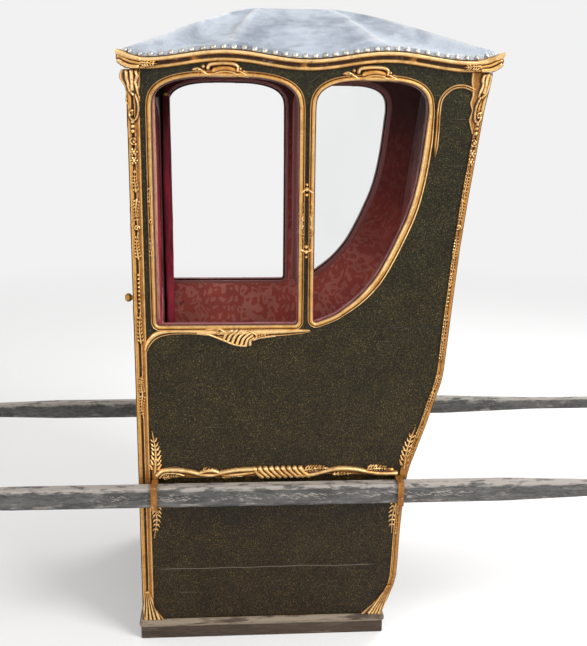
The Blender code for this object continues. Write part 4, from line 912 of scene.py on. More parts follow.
def clasp():
    strokes = []
    for z, radius in ((1.261, 0.0040), (1.249, 0.0058), (1.235, 0.0048), (1.103, 0.0052), (1.090, 0.0062),
                      (1.077, 0.0042)):
        strokes += knob((CLASP_X, z), radius, 0.0125)
    for side in (-1.0, 1.0):
        for low, high in ((1.167, 1.227), (1.161, 1.111)):
            middle = (CLASP_X + side * 0.0135, (low + high) / 2)
            strokes += frond([(CLASP_X + side * 0.0115, low), middle, (CLASP_X + side * 0.003, high)], 0.010, 0.0135, 4)
        strokes.append(([(CLASP_X + side * 0.0108, 1.151), (CLASP_X + side * 0.0125, 1.167),
                         (CLASP_X + side * 0.0095, 1.181)], 0.0032, 0.0130))
        strokes.append(([(CLASP_X + side * 0.006, 1.247), (CLASP_X + side * 0.014, 1.241)], 0.0034, 0.0120))
        strokes.append(([(CLASP_X + side * 0.006, 1.092), (CLASP_X + side * 0.014, 1.096)], 0.0034, 0.0120))
    return strokes


for name, way in SIDES:
    gild(f"divider_knot_{name}", [carving(clasp(), on_side(way), FINE_CUT)], f"divider_clasp_{name}")


# The garland over the pole
# A carved ribbon that waves over small leaves, slantingly fluted at its middle. It hides where the side boards
# meet, just above the pole's path.
GARLAND_RIBBONS = [  # places, half width, height
    ([(-0.326, 0.4860), (-0.285, 0.4885), (-0.245, 0.4870), (-0.205, 0.4860)], 0.0112, 0.0066),
    ([(-0.170, 0.4850), (-0.120, 0.4870), (-0.068, 0.4885)], 0.0115, 0.0066),
    ([(0.055, 0.4880), (0.110, 0.4895), (0.160, 0.4885), (0.220, 0.4865), (0.305, 0.4850)], 0.0098, 0.0066),
    ([(-0.329, 0.4860), (-0.3127, 0.4985), (-0.2793, 0.5005), (-0.2460, 0.4955), (-0.2126, 0.4872), (-0.1839, 0.4840),
      (-0.1550, 0.4905), (-0.1165, 0.4970), (-0.0650, 0.4985)], 0.0068, 0.0124),
    ([(-0.2150, 0.4900), (-0.1960, 0.4960), (-0.1780, 0.4960), (-0.1503, 0.4850), (-0.1166, 0.4845), (-0.0780, 0.4895),
      (-0.0560, 0.4930)], 0.0060, 0.0112),
    ([(-0.3220, 0.4790), (-0.3140, 0.4885), (-0.2980, 0.4925), (-0.2750, 0.4905), (-0.2580, 0.4850)], 0.0034, 0.0104),
    ([(0.0480, 0.4790), (0.0900, 0.4815), (0.1250, 0.4900), (0.1600, 0.4965), (0.2000, 0.4945), (0.2400, 0.4860),
      (0.2700, 0.4810), (0.3180, 0.4800)], 0.0068, 0.0124),
]
GARLAND_LEAVES = [  # root, middle, tip, width, lobes
    ((-0.314, 0.4795), (-0.292, 0.4830), (-0.268, 0.4820), 0.012, 6),
    ((-0.155, 0.4785), (-0.130, 0.4805), (-0.098, 0.4795), 0.011, 6),
    ((-0.208, 0.4975), (-0.192, 0.5000), (-0.172, 0.4985), 0.009, 4),
    ((0.068, 0.4945), (0.098, 0.4985), (0.132, 0.4985), 0.014, 7),
    ((0.145, 0.4820), (0.168, 0.4815), (0.200, 0.4805), 0.011, 5),
    ((0.238, 0.4925), (0.266, 0.4955), (0.300, 0.4925), 0.015, 7),
]
GARLAND_FLUTES = np.linspace(-0.070, 0.056, 9)


def garland():
    strokes = [(smooth(line, 0.004), width, height) for line, width, height in GARLAND_RIBBONS]
    for *line, width, lobes in GARLAND_LEAVES:
        strokes += frond(line, width, 0.0112, lobes)
    for x in GARLAND_FLUTES:
        line = smooth([(x, 0.4995), (x + 0.009, 0.4885), (x + 0.023, 0.4775)], 0.003)
        strokes.append((line, 0.0074, 0.0124))
    return strokes


for name, way in SIDES:
    gild(f"garland_spray_{name}", [carving(garland(), on_side(way), 0.0015)], f"pole_garland_{name}")


# The posts
# Four oak corner posts, gilt where they show. The front ones are straight and the rear ones follow the bent
# back. Each has a scrolled corbel under the cornice, runs of carved leaves and beads, and a flared foot.
POST_LOW, POST_TOP = 0.0554, 1.5388
POST_ROW = 0.0026
POST_COLUMNS = 22


def edges_of(node, places, along=2, across=0):
    """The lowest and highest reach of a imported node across, at each place along it."""
    mesh = nodes[node].data
    points = np.array([vertex.co for vertex in mesh.vertices])
    ends = np.array([edge.vertices for edge in mesh.edges])
    start, end = points[ends[:, 0]], points[ends[:, 1]]
    lows, highs = [], []
    for place in places:
        over = (start[:, along] - place) * (end[:, along] - place) <= 0
        rise = (end[over] - start[over])[:, along]
        share = np.where(np.abs(rise) > 1e-9, (place - start[over][:, along]) / np.where(rise == 0, 1.0, rise), 0.0)
        spots = start[over][:, across] + share * (end[over] - start[over])[:, across]
        lows.append(spots.min())
        highs.append(spots.max())
    return np.array(lows), np.array(highs)


def on_front(level):
    """Places on the chair's front: flat ones are across and up, and height stands out forwards."""
    def place(flat, rise):
        return np.stack([level - rise, flat[..., 0], flat[..., 1]], axis=-1)
    return place


def bead_row(x_at, low, high, radius, height, pitch):
    """Round beads strung up a post."""
    strokes = []
    for z in np.arange(low, high, pitch):
        strokes += knob((x_at(z), z), radius, height)
    return strokes


CORBEL_LEAVES = [  # aside and height of each place, half widths, heights
    ([(-0.60, 1.531), (-0.58, 1.515), (-0.30, 1.498)], 0.0056, 0.0092),
    ([(-0.02, 1.533), (0.02, 1.512), (0.02, 1.490)], 0.0062, 0.0112),
    ([(0.50, 1.532), (0.66, 1.521), (0.46, 1.509)], 0.0048, 0.0100),
    ([(0.40, 1.506), (0.60, 1.492), (0.66, 1.478)], [0.0048, 0.0044, 0.0020], [0.0100, 0.0092, 0.0060]),
    ([(-0.45, 1.500), (-0.25, 1.486), (0.15, 1.477)], [0.0042, 0.0044, 0.0030], [0.0090, 0.0095, 0.0080]),
]
CORBEL_SCROLL = [(0.42, 1.476), (0.68, 1.458), (0.68, 1.436), (0.34, 1.4185), (-0.15, 1.4190), (-0.42, 1.4290)]


def post_strokes(x_at, width):
    """The carving shared by all posts, from corbel to foot, drawn on a line that follows the post."""
    def spot(aside, z):
        return (x_at(z) + aside * width, z)
    strokes = []
    for line, width_there, height in CORBEL_LEAVES:
        strokes.append(([spot(*place) for place in line], width_there, height))
    strokes.append((smooth([spot(*place) for place in CORBEL_SCROLL], 0.003), 0.0031, 0.0106))
    strokes += curl(spot(-0.12, 1.4330), 0.0070, 1.2, 1.0, 0.0030, 0.0100)
    strokes += bead_row(lambda z: x_at(z) - 0.05 * width, 1.390, 1.421, 0.0058, 0.0092, 0.0115)
    strokes += curl(spot(0.0, 1.367), 0.0095, -1.0, -1.2, 0.0030, 0.0090)
    for z in (1.340, 1.319):
        strokes += knob(spot(0.0, z), 0.0050, 0.0095)
        for i in range(6):
            angle = i * math.pi / 3
            strokes += knob((spot(0.0, z)[0] + 0.0072 * math.cos(angle), z + 0.0072 * math.sin(angle)), 0.0036, 0.0078)
    strokes += frond([spot(0.1, 1.243), spot(0.0, 1.275), spot(0.1, 1.305)], 0.015, 0.0080, 6)
    for low, high in ((1.073, 1.143), (1.223, 1.159), (0.853, 0.939), (0.713, 0.646), (0.717, 0.766)):
        strokes += frond([spot(0.18, low), spot(0.02, (low + high) / 2), spot(0.22, high)], 0.016, 0.0080, 7)
    strokes += curl(spot(0.1, 1.151), 0.0070, 0.0, 1.1, 0.0028, 0.0085)
    strokes += bead_row(lambda z: x_at(z) + 0.1 * width, 0.947, 1.036, 0.0036, 0.0076, 0.0105)
    for i in range(5):
        aside = -0.55 + 0.42 * i
        strokes.append(([spot(-0.3 + 0.14 * i, 0.142), spot(aside * 0.75, 0.100), spot(aside * 1.35, 0.058)],
                        [0.0022, 0.0034, 0.0050], [0.006, 0.0088, 0.0096]))
    return strokes


def front_post(name, way):
    rows = np.arange(POST_LOW, POST_TOP, POST_ROW)
    left, right = edges_of(f"front_post_{name}", rows)
    left = left - 0.0095 * np.exp(-(((rows - 1.520) / 0.018) ** 2))
    share = np.linspace(0.0, 1.0, POST_COLUMNS)
    x = left[:, None] + (right - left)[:, None] * share
    front = -0.378
    bead = np.sqrt(np.clip(1 - ((x - front - 0.0056) / 0.0058) ** 2, 0.0, None)) * 0.0057
    stripe = np.clip((x - front - 0.0148) / 0.0022, 0.0, 1.0) * np.clip((-0.3468 - x) / 0.0022, 0.0, 1.0) * 0.0046
    lip = np.exp(-((x - front - 0.0175) / 0.0013) ** 2) * 0.0056
    overhang = np.where((x < front) | (x > -0.3475), 0.0042, 0.0)
    ground = np.maximum.reduce([bead, stripe, lip, np.full_like(x, 0.0006), overhang])
    body = (np.full_like(left, front), np.full_like(left, -0.3473))
    body = tuple(np.stack([edge, rows], axis=1) for edge in body)
    starts, ends = np.stack([left, rows], axis=1), np.stack([right, rows], axis=1)
    strokes = post_strokes(lambda z: -0.3650, 0.020)
    shaft = band(starts, ends, ground, strokes, on_side(way), 0.0253, body=body)
    inner, outer = 0.3165 * way, 0.3365 * way
    lines = [np.stack([np.full_like(rows, y), rows], axis=1) for y in (inner, outer)]
    section = np.array([0.0, 0.0009, 0.0012, 0.0009, 0.0003, 0.0003, 0.0009, 0.0013, 0.0014, 0.0013, 0.0009, 0.0])
    ground = np.broadcast_to(section, (len(rows), 12)).copy()
    strokes = []
    for low, high in ((1.40, 1.48), (1.16, 1.08), (1.19, 1.21), (0.95, 0.87), (0.70, 0.62)):
        y = way * 0.3265
        strokes += frond([(y, low), (y, (low + high) / 2), (y, high)], 0.011, 0.0030, 6)
    face = band(*lines, ground, strokes, on_front(front))
    add_piece(f"front_post_carved_{name}", [shaft, face], moulding_gilt, "chair_body",
              [f"front_post_{name}"])


def rear_post(name, way):
    rows = np.arange(POST_LOW, POST_TOP, POST_ROW)
    left, right = edges_of(f"rear_post_{name}", rows)
    swell = np.clip((rows - 1.44) / 0.09, 0.0, 1.0)
    right = right + 0.006 * swell * swell * (3 - 2 * swell)
    back = right.copy()
    share = np.linspace(0.0, 1.0, POST_COLUMNS)
    across = (right - left)[:, None] * share
    from_back = across[:, ::-1]
    bead = np.sqrt(np.clip(1 - ((from_back - 0.0050) / 0.0052) ** 2, 0.0, None)) * 0.0057
    stripe = np.where((from_back > 0.0108) & (from_back < 0.0172), 0.0045, 0.0008)
    wide = np.where(from_back > 0.0185, 0.0042, 0.0)
    ground = np.maximum.reduce([bead, stripe, wide])
    starts, ends = np.stack([left, rows], axis=1), np.stack([right, rows], axis=1)
    body = (np.stack([back - 0.0178, rows], axis=1), ends)

    def middle(z):
        return float(np.interp(z, rows, back)) - 0.0115

    strokes = post_strokes(middle, -0.016)
    for low in (0.30, 0.36, 0.52, 0.58, 0.80, 0.83, 1.00, 1.04, 1.22):
        strokes += frond([(middle(low), low), (middle(low + 0.02), low + 0.02), (middle(low + 0.045), low + 0.045)],
                         0.012, 0.0078, 5)
    shaft = band(starts, ends, ground, strokes, on_side(way), 0.0363, body=body)
    lines = [np.stack([np.full_like(rows, y * way), rows], axis=1) for y in (0.3145, 0.3365)]
    section = np.array([0.0, 0.0012, 0.0019, 0.0022, 0.0019, 0.0012, 0.0005, 0.0005, 0.0010, 0.0013, 0.0010, 0.0])

    def on_back(flat, rise):
        level = np.interp(flat[..., 1], rows, back)
        return np.stack([level + rise, flat[..., 0], flat[..., 1]], axis=-1)

    face = band(*lines, np.broadcast_to(section, (len(rows), 12)).copy(), [], on_back)
    add_piece(f"rear_post_carved_{name}", [shaft, face], moulding_gilt, "chair_body",
              [f"rear_post_{name}"])


for name, way in SIDES:
    front_post(name, way)
    rear_post(name, way)


# The straps and their plates
# Wrought iron straps, once gilt, hold the poles. Each is nailed through a long carved leaf on the side board.
def strap_leaf(x_low, x_high, out):
    """A leaf that spreads up and down from the strap. The low and high places follow the post's edge."""
    def spot(share, aside):
        z = 0.296 + share * (0.615 - 0.296)
        x = x_low + (x_high - x_low) * share
        return (x + out * aside, z)
    strokes = frond([spot(0.62, 0.011), spot(0.80, 0.014), spot(0.985, 0.006)], 0.021, 0.0075, 7)
    strokes += frond([spot(0.34, 0.010), spot(0.18, 0.012), spot(0.02, 0.004)], 0.019, 0.0075, 6)
    strokes.append(([spot(0.30, 0.011), spot(0.66, 0.011)], 0.0085, 0.0052))
    strokes += curl(spot(0.72, 0.014), 0.0062, 0.0, 1.0, 0.0024, 0.0085)
    strokes += curl(spot(0.25, 0.012), 0.0058, 2.0, -1.0, 0.0024, 0.0085)
    return strokes


for name, way in SIDES:
    side = on_side(way)
    add_piece(f"front_strap_leaf_{name}", [carving(strap_leaf(-0.3455, -0.3455, 1.0), side, 0.0014)], moulding_gilt,
              "chair_body", [f"front_strap_plate_{name}"])
    x_low, x_high = edges_of(f"rear_strap_plate_{name}", (0.30, 0.61))[1]
    add_piece(f"rear_strap_leaf_{name}", [carving(strap_leaf(x_low, x_high, -1.0), side, 0.0014)], moulding_gilt,
              "chair_body", [f"rear_strap_plate_{name}"])
strap_gilt = gilt_finish("strap_gilt", 0.9, carved=False)
for node in nodes:
    if "bracket" in node:
        refinish(node, strap_gilt, 0.0008)


# The cornice
# A gilt moulding round the roof's foot: a bead, a cove painted dark as shade and dirt, and an upper bead, waved along
# the sides and turned up into scrolls at the corners. Ribbon ties are carved across it. It lifts with the roof.
CORNICE_BASE = [
    (-0.0216, 0.0000), (0.0005, 0.0000), (0.0007, -0.0016), (0.0040, -0.0016), (0.0074, -0.0008), (0.0092, 0.0012),
    (0.0100, 0.0040), (0.0094, 0.0062),
    (0.0078, 0.0074), (0.0084, 0.0098), (0.0104, 0.0124), (0.0136, 0.0140), (0.0168, 0.0144), (0.0178, 0.0152),
    (0.0208, 0.0158), (0.0232, 0.0176), (0.0240, 0.0204), (0.0232, 0.0228), (0.0208, 0.0240), (-0.0216, 0.0240),
]
# Relief marks across the section: low in the cove, for painted shade and dirt, and high on the beads, for painted
# highlight.
CORNICE_MARKS = np.array([
    0.3, 0.3, 0.4, 0.5, 0.6, 0.74, 0.78, 0.62, 0.22, 0.10, 0.10, 0.14, 0.26, 0.5, 0.74, 0.84, 0.90, 0.84, 0.7, 0.5,
])
CORNICE_TIES = (-0.205, 0.055, 0.315)
BODY_FRONT, BODY_BACK, HALF_WIDTH, PARTING = -0.372, 0.519, 0.3325, 1.540
WAVE_LOW, WAVE_PITCH, WAVE_RISE, END_RISE = -0.338, 0.402, 0.0205, 0.024
EAR_RISE, EAR_REACH, EAR_FLARE, CORNICE_REACH = 0.012, 0.060, 0.005, 0.024
EAR_CURL = 0.006


def parting_height(x, y):
    """Height of the roof's foot: a double wave along the sides and one arch along each end."""
    wave = (1 - np.cos(2 * math.pi * (x - WAVE_LOW) / WAVE_PITCH)) / 2
    bow = (1 + np.cos(math.pi * y / HALF_WIDTH)) / 2
    return PARTING + WAVE_RISE * wave + END_RISE * bow


def ear(x, y):
    """Share by which the cornice turns up and out, from 1 at the four corners to 0 a little way off."""
    ahead = np.minimum(np.abs(x - BODY_FRONT + CORNICE_REACH), np.abs(x - BODY_BACK - CORNICE_REACH))
    aside = HALF_WIDTH + CORNICE_REACH - np.abs(y)
    return np.clip(1 - np.hypot(ahead, aside) / EAR_REACH, 0.0, None)


def wall_ring(grown, side_cells, end_cells):
    """The walls' outline from above, grown outwards, with a place at each cell's end."""
    left, right, half = BODY_FRONT - grown, BODY_BACK + grown, HALF_WIDTH + grown
    corners = [(left, -half), (left, half), (right, half), (right, -half)]
    ring = []
    for i, start in enumerate(corners):
        end = corners[(i + 1) % 4]
        cells = side_cells if i % 2 else end_cells
        for step in range(cells):
            share = step / cells
            ring.append((start[0] + (end[0] - start[0]) * share, start[1] + (end[1] - start[1]) * share))
    return np.array(ring)


def lifted(x, y, z):
    """A place on the cornice, raised to the waved line and turned out at the corners."""
    turned = ear(x, y)
    middle = (BODY_FRONT + BODY_BACK) / 2
    z = z + parting_height(x, y) + (EAR_RISE * turned + EAR_CURL * turned**3) * z / CORNICE_REACH
    return np.stack([x + EAR_FLARE * turned * np.sign(x - middle), y + EAR_FLARE * turned * np.sign(y), z], axis=-1)


def cornice_chunk():
    rows = []
    base = wall_ring(0.0, 112, 84)
    tied = np.zeros(len(base))
    on_long = np.abs(np.abs(base[:, 1]) - HALF_WIDTH) < 1e-6
    for x in CORNICE_TIES:
        tied = np.maximum(tied, on_long * np.exp(-(((base[:, 0] - x) / 0.008) ** 4)))
    for y in (-0.11, 0.11):
        tied = np.maximum(tied, ~on_long * np.exp(-(((base[:, 1] - y) / 0.008) ** 4)))
    ring = wall_ring(0.0, 112, 84)
    for out, up in CORNICE_BASE:
        grown = wall_ring(1.0, 112, 84) - ring
        cove = max(0.0, 1 - abs(up - 0.0108) / 0.006) if out > 0 else 0.0
        reach = out + tied * (0.0012 * (out > 0.004) + 0.0075 * cove)
        reach = reach + 0.0004 * np.sin(ring[:, 0] * 260.0) * (out > 0.006)
        reach = np.minimum(reach, 0.0240)
        spots = ring + grown * reach[:, None]
        rows.append(lifted(spots[:, 0], spots[:, 1], np.full(len(spots), up)))
    rows = np.stack(rows, axis=1)
    points, faces, _ = lofted(rows, closed=True)
    marks = np.broadcast_to(CORNICE_MARKS, (len(base), len(CORNICE_MARKS))).copy()
    marks += tied[:, None] * 0.35 * (CORNICE_MARKS < 0.5)
    return points, faces, marks.reshape(-1)


EAR_RIDGES = [  # inwards from the ear's tip and up, half width, height
    ([(0.058, 0.0200), (0.036, 0.0245), (0.020, 0.0330), (0.0090, 0.0368)], 0.0060, 0.0082),
    ([(0.058, 0.0105), (0.037, 0.0145), (0.020, 0.0215), (0.0080, 0.0265)], 0.0048, 0.0062),
    ([(0.052, 0.0035), (0.032, 0.0045), (0.017, 0.0105), (0.0085, 0.0165)], 0.0056, 0.0074),
]
EAR_LEAF = [(0.060, 0.0130), (0.080, 0.0110), (0.100, 0.0095)]


def ear_scrolls():
    """Leafy horns carved on the sides of the cornice, at its ends."""
    chunks = []
    for way in (-1.0, 1.0):
        for tip, turn in ((BODY_FRONT - 0.029, 1.0), (BODY_BACK + 0.029, -1.0)):
            strokes = [
                (smooth([(tip + turn * along, PARTING + up) for along, up in line], 0.003), width, height)
                for line, width, height in EAR_RIDGES
            ]
            strokes += frond([(tip + turn * along, PARTING + up) for along, up in EAR_LEAF], 0.014, 0.0072, 5)
            strokes += knob((tip + turn * 0.0125, PARTING + 0.026), 0.0110, 0.0046)
            chunks.append(carving(strokes, on_side(way, HALF_WIDTH + 0.0170), 0.0014))
    return chunks


cornice_gilt = gilt_finish("cornice_gilt", 0.55)
add_piece("cornice_carved", [cornice_chunk(), *ear_scrolls()], cornice_gilt, "roof", ["cornice"])


# The roof
# Grained calf leather, pale with age, stretched wet over a light domed frame and nailed down. The frame's
# ribs show as ridges that run from the cornice's peaks and corners up to the crown.
ROOF_RISE, ROOF_POWER, RIM_POWER, ROOF_LIFT, ROOF_OVERHANG = 0.136, 1.35, 4, 0.0135, 0.007
ROOF_THICKNESS = 0.010
ROOF_RIBS_X = (-0.137, 0.265)
SPINE_X = (-0.050, 0.145)
ROOF_SAG = 0.015
ROOF_CELLS = (96, 72)
ROOF_RINGS = 44


def roof_height(edge, share):
    """Height of the roof at a share of the way from the crown to its edge."""
    x, y = edge[..., 0], edge[..., 1]
    rim = parting_height(x, y) + EAR_RISE * ear(x, y) - PARTING
    return PARTING + CORNICE_REACH + ROOF_LIFT + rim * share**RIM_POWER + ROOF_RISE * (1 - share**ROOF_POWER)


def rib_distance(edge):
    """How far round the edge each place is from its nearest rib, as a share of the bay: 0 on a rib, 1 midway."""
    ribs = []
    for x in (BODY_FRONT - ROOF_OVERHANG, *ROOF_RIBS_X, BODY_BACK + ROOF_OVERHANG):
        for y in (-1.0, 1.0):
            ribs.append((x, y * (HALF_WIDTH + ROOF_OVERHANG)))
    ribs += [(BODY_FRONT - ROOF_OVERHANG, 0.0), (BODY_BACK + ROOF_OVERHANG, 0.0)]
    ribs = np.array(ribs)
    away = np.sort(np.hypot(*(edge[:, None] - ribs[None]).transpose(2, 0, 1)), axis=1)
    return np.clip(2 * away[:, 0] / (away[:, 0] + away[:, 1]), 0.0, 1.0)


def roof_crown(edge):
    """The place on the short spine that the roof rises to from each place on its edge."""
    return np.stack([np.interp(edge[:, 0], ROOF_RIBS_X, SPINE_X), np.zeros(len(edge))], axis=1)


def roof_chunk():
    """Places on the leather from its edge to the spine, pulled tight over the ribs and slack between them."""
    edge = wall_ring(ROOF_OVERHANG, *ROOF_CELLS)
    apart = rib_distance(edge)
    crown = roof_crown(edge)
    sagging = np.where(edge[:, 0] < BODY_FRONT, 0.35, 1.0)
    tops, marks = [], []
    for share in np.linspace(1.0, 0.0, ROOF_RINGS):
        flat = crown + (edge - crown) * share
        slack = ROOF_SAG * min(1.0, 2.2 * share) * (1 - share**5) * sagging
        high = roof_height(edge, np.full(len(edge), share)) - slack * np.sin(math.pi * apart / 2) ** 0.85
        tops.append(np.stack([flat[:, 0], flat[:, 1], high], axis=1))
        # Painted shade in the relief marks: the middle bay is painted darker as shade, less so near its middle; the
        # ribs are marked paler towards the crown.
        ridge = np.exp(-((apart / 0.12) ** 2))
        mid_bay = (edge[:, 0] > ROOF_RIBS_X[0]) & (edge[:, 0] < ROOF_RIBS_X[1])
        shaded = 0.16 * mid_bay * (1 - 0.8 * np.exp(-(((edge[:, 0] - 0.070) / 0.055) ** 2))) * min(1.0, share * 1.6)
        marks.append(0.42 - shaded + 0.45 * ridge * np.clip((1 - share) * 6, 0.0, 1.0))
    return np.array(tops), np.array(marks)


def leather_finish():
    skin, tree, shader = new_finish("roof_leather", 0.5, Coat_Weight=0.15, Coat_Roughness=0.35)
    spot = place_in(tree)
    relief = wire(tree, "ShaderNodeAttribute", attribute_name="relief").outputs["Fac"]
    # The relief marks carry the painted shade of the roof's bays; with noise they set the leather's tone.
    wear_and_painted_light = product(tree, relief, product(tree, product(tree, cloud(tree, spot, 30.0, 4.0, 0.6), 0.5, "SUBTRACT"), 0.5),
                   "ADD")
    colour = ramp(tree, wear_and_painted_light, [(0.22, tint(172, 183, 198)), (0.42, tint(214, 224, 235)), (0.85, tint(244, 247, 250))])
    stain = ramp(tree, cloud(tree, spot, 5.0, 4.0, 0.6, 0.8), [
        (0.34, tint(186, 190, 198)), (0.55, tint(255, 255, 255)), (0.75, tint(240, 244, 250)),
    ])
    colour = toned(tree, colour, stain)
    cells = wire(tree, "ShaderNodeTexVoronoi", {"Vector": spot, "Scale": 300.0}, feature="DISTANCE_TO_EDGE")
    crease = span(tree, cells.outputs["Distance"], 0.0, 0.16)
    pore = ramp(tree, crease, [(0.0, tint(205, 208, 214)), (0.6, tint(255, 255, 255))])
    colour = toned(tree, colour, pore)
    tree.links.new(colour, shader.inputs["Base Color"])
    tree.links.new(span(tree, cloud(tree, spot, 40.0, 3.0), 0.3, 0.7, 0.42, 0.60), shader.inputs["Roughness"])
    bump(tree, shader, product(tree, crease, product(tree, cloud(tree, spot, 60.0, 4.0), 0.8), "ADD"), 0.0010)
    return skin


def roof_piece():
    tops, marks = roof_chunk()
    rings, around = tops.shape[:2]
    under = tops - (0.0, 0.0, ROOF_THICKNESS)
    points = np.vstack([tops.reshape(-1, 3), under.reshape(-1, 3)])
    index = np.arange(rings * around).reshape(rings, around)
    top = np.stack([index[:-1], np.roll(index[:-1], -1, 1), np.roll(index[1:], -1, 1), index[1:]], -1).reshape(-1, 4)
    low = top[:, ::-1] + rings * around
    rim = np.stack([index[0], index[0] + rings * around, np.roll(index[0], -1) + rings * around,
                    np.roll(index[0], -1)], -1)
    piece = add_piece("roof_leather_dome", [(points, [tuple(q) for q in np.vstack([top, low, rim])],
                      np.concatenate([marks.reshape(-1), np.full(marks.size, 0.4)]))],
                      leather_finish(), "roof", ["roof_shell"], 60.0)
    work = bmesh.new()
    work.from_mesh(piece.data)
    bmesh.ops.remove_doubles(work, verts=work.verts, dist=0.0004)
    bmesh.ops.recalc_face_normals(work, faces=work.faces)
    work.to_mesh(piece.data)
    work.free()


roof_piece()


# The roof's nails
# Domed steel nails with a silvered face, driven through the leather's turned edge all round the roof.
# Two more rows of smaller ones hold the front and rear edges.
NAIL_RADIUS = 0.0076
NAIL_PITCH = 0.0125
NAIL_INSETS = (0.004, 0.018, 0.032)
END_NAIL_SIZE = 0.72
NAIL_PROFILE = ((1.0, 0.0), (0.96, 0.25), (0.80, 0.55), (0.52, 0.78), (0.20, 0.88))


def nail_chunk(centre, normal, size):
    steps = 10
    way = Vector(normal).to_track_quat("Z", "Y").to_matrix()
    points = []
    for reach, rise in NAIL_PROFILE:
        for step in range(steps):
            angle = 2 * math.pi * step / steps
            spot = Vector((reach * math.cos(angle), reach * math.sin(angle), rise * 0.62)) * NAIL_RADIUS * size
            points.append(Vector(centre) + way @ spot)
    index = np.arange(len(points)).reshape(-1, steps)
    quads = np.stack([index[:-1], np.roll(index[:-1], -1, 1), np.roll(index[1:], -1, 1), index[1:]], -1)
    points = np.array(points)
    return points, facing_out(points, quads.reshape(-1, 4), [index[0][::-1], index[-1]]), np.full(len(points), 0.7)


def nail_places():
    """Places on the roof and the way it faces there, an even pitch apart along its edge."""
    ring = wall_ring(ROOF_OVERHANG, 400, 300)
    gone = np.concatenate([[0.0], np.cumsum(np.hypot(*(np.roll(ring, -1, 0) - ring).T))])
    count = round(gone[-1] / NAIL_PITCH)
    places = []
    for i in range(count):
        at = gone[-1] * i / count
        row = int(np.searchsorted(gone, at)) % len(ring)
        spot = ring[row]
        at_end = abs(abs(spot[1]) - HALF_WIDTH - ROOF_OVERHANG) > 0.004
        if not at_end and i % 2:
            continue
        size = END_NAIL_SIZE if at_end else 1.0
        for inset in NAIL_INSETS if at_end else NAIL_INSETS[:1]:
            crown = roof_crown(spot[None])[0]
            reach = math.hypot(*(spot - crown))
            shares = np.array([1 - inset / reach, 1 - (inset + 0.01) / reach])
            edge = np.broadcast_to(spot, (2, 2))
            highs = roof_height(edge, shares)
            outer, inner = (crown + (spot - crown) * share for share in shares)
            slope = (highs[1] - highs[0]) / math.hypot(*(outer - inner))
            out = (spot - crown) / reach
            if inset == NAIL_INSETS[0]:
                edge_spot = spot + out * 0.0012
                places.append(((edge_spot[0], edge_spot[1], highs[0] - 0.0062), (out[0], out[1], 0.85), size))
            else:
                places.append(((outer[0], outer[1], highs[0] - 0.0006), (out[0] * slope, out[1] * slope, 1.0), size))
    return places


def metal_finish(name, colour, dull, roughness, wear):
    skin, tree, shader = new_finish(name, roughness, 0.9)
    spot = place_in(tree)
    tone = ramp(tree, cloud(tree, spot, 60.0, 4.0, 0.65), [(0.5 - wear, dull), (0.5 + wear, colour)])
    tree.links.new(tone, shader.inputs["Base Color"])
    rough = span(tree, cloud(tree, spot, 140.0, 3.0), 0.3, 0.7, roughness - 0.08, roughness + 0.15)
    tree.links.new(rough, shader.inputs["Roughness"])
    bump(tree, shader, cloud(tree, spot, 420.0, 3.0), 0.0002)
    return skin


silvered = metal_finish("silvered_steel", tint(236, 235, 228), tint(150, 148, 138), 0.34, 0.22)
nail_chunks = [nail_chunk(*place) for place in nail_places()]
add_piece("roof_nails", nail_chunks, silvered, "roof", (), 80.0)


# The roof's silk ceiling
# Thin crimson silk tacked to the underside of the roof's ribs, seen when the roof is thrown open.
CEILING_SHARE = 0.90
CEILING_SEAM = 0.0012
CEILING_THICKNESS = 0.0016


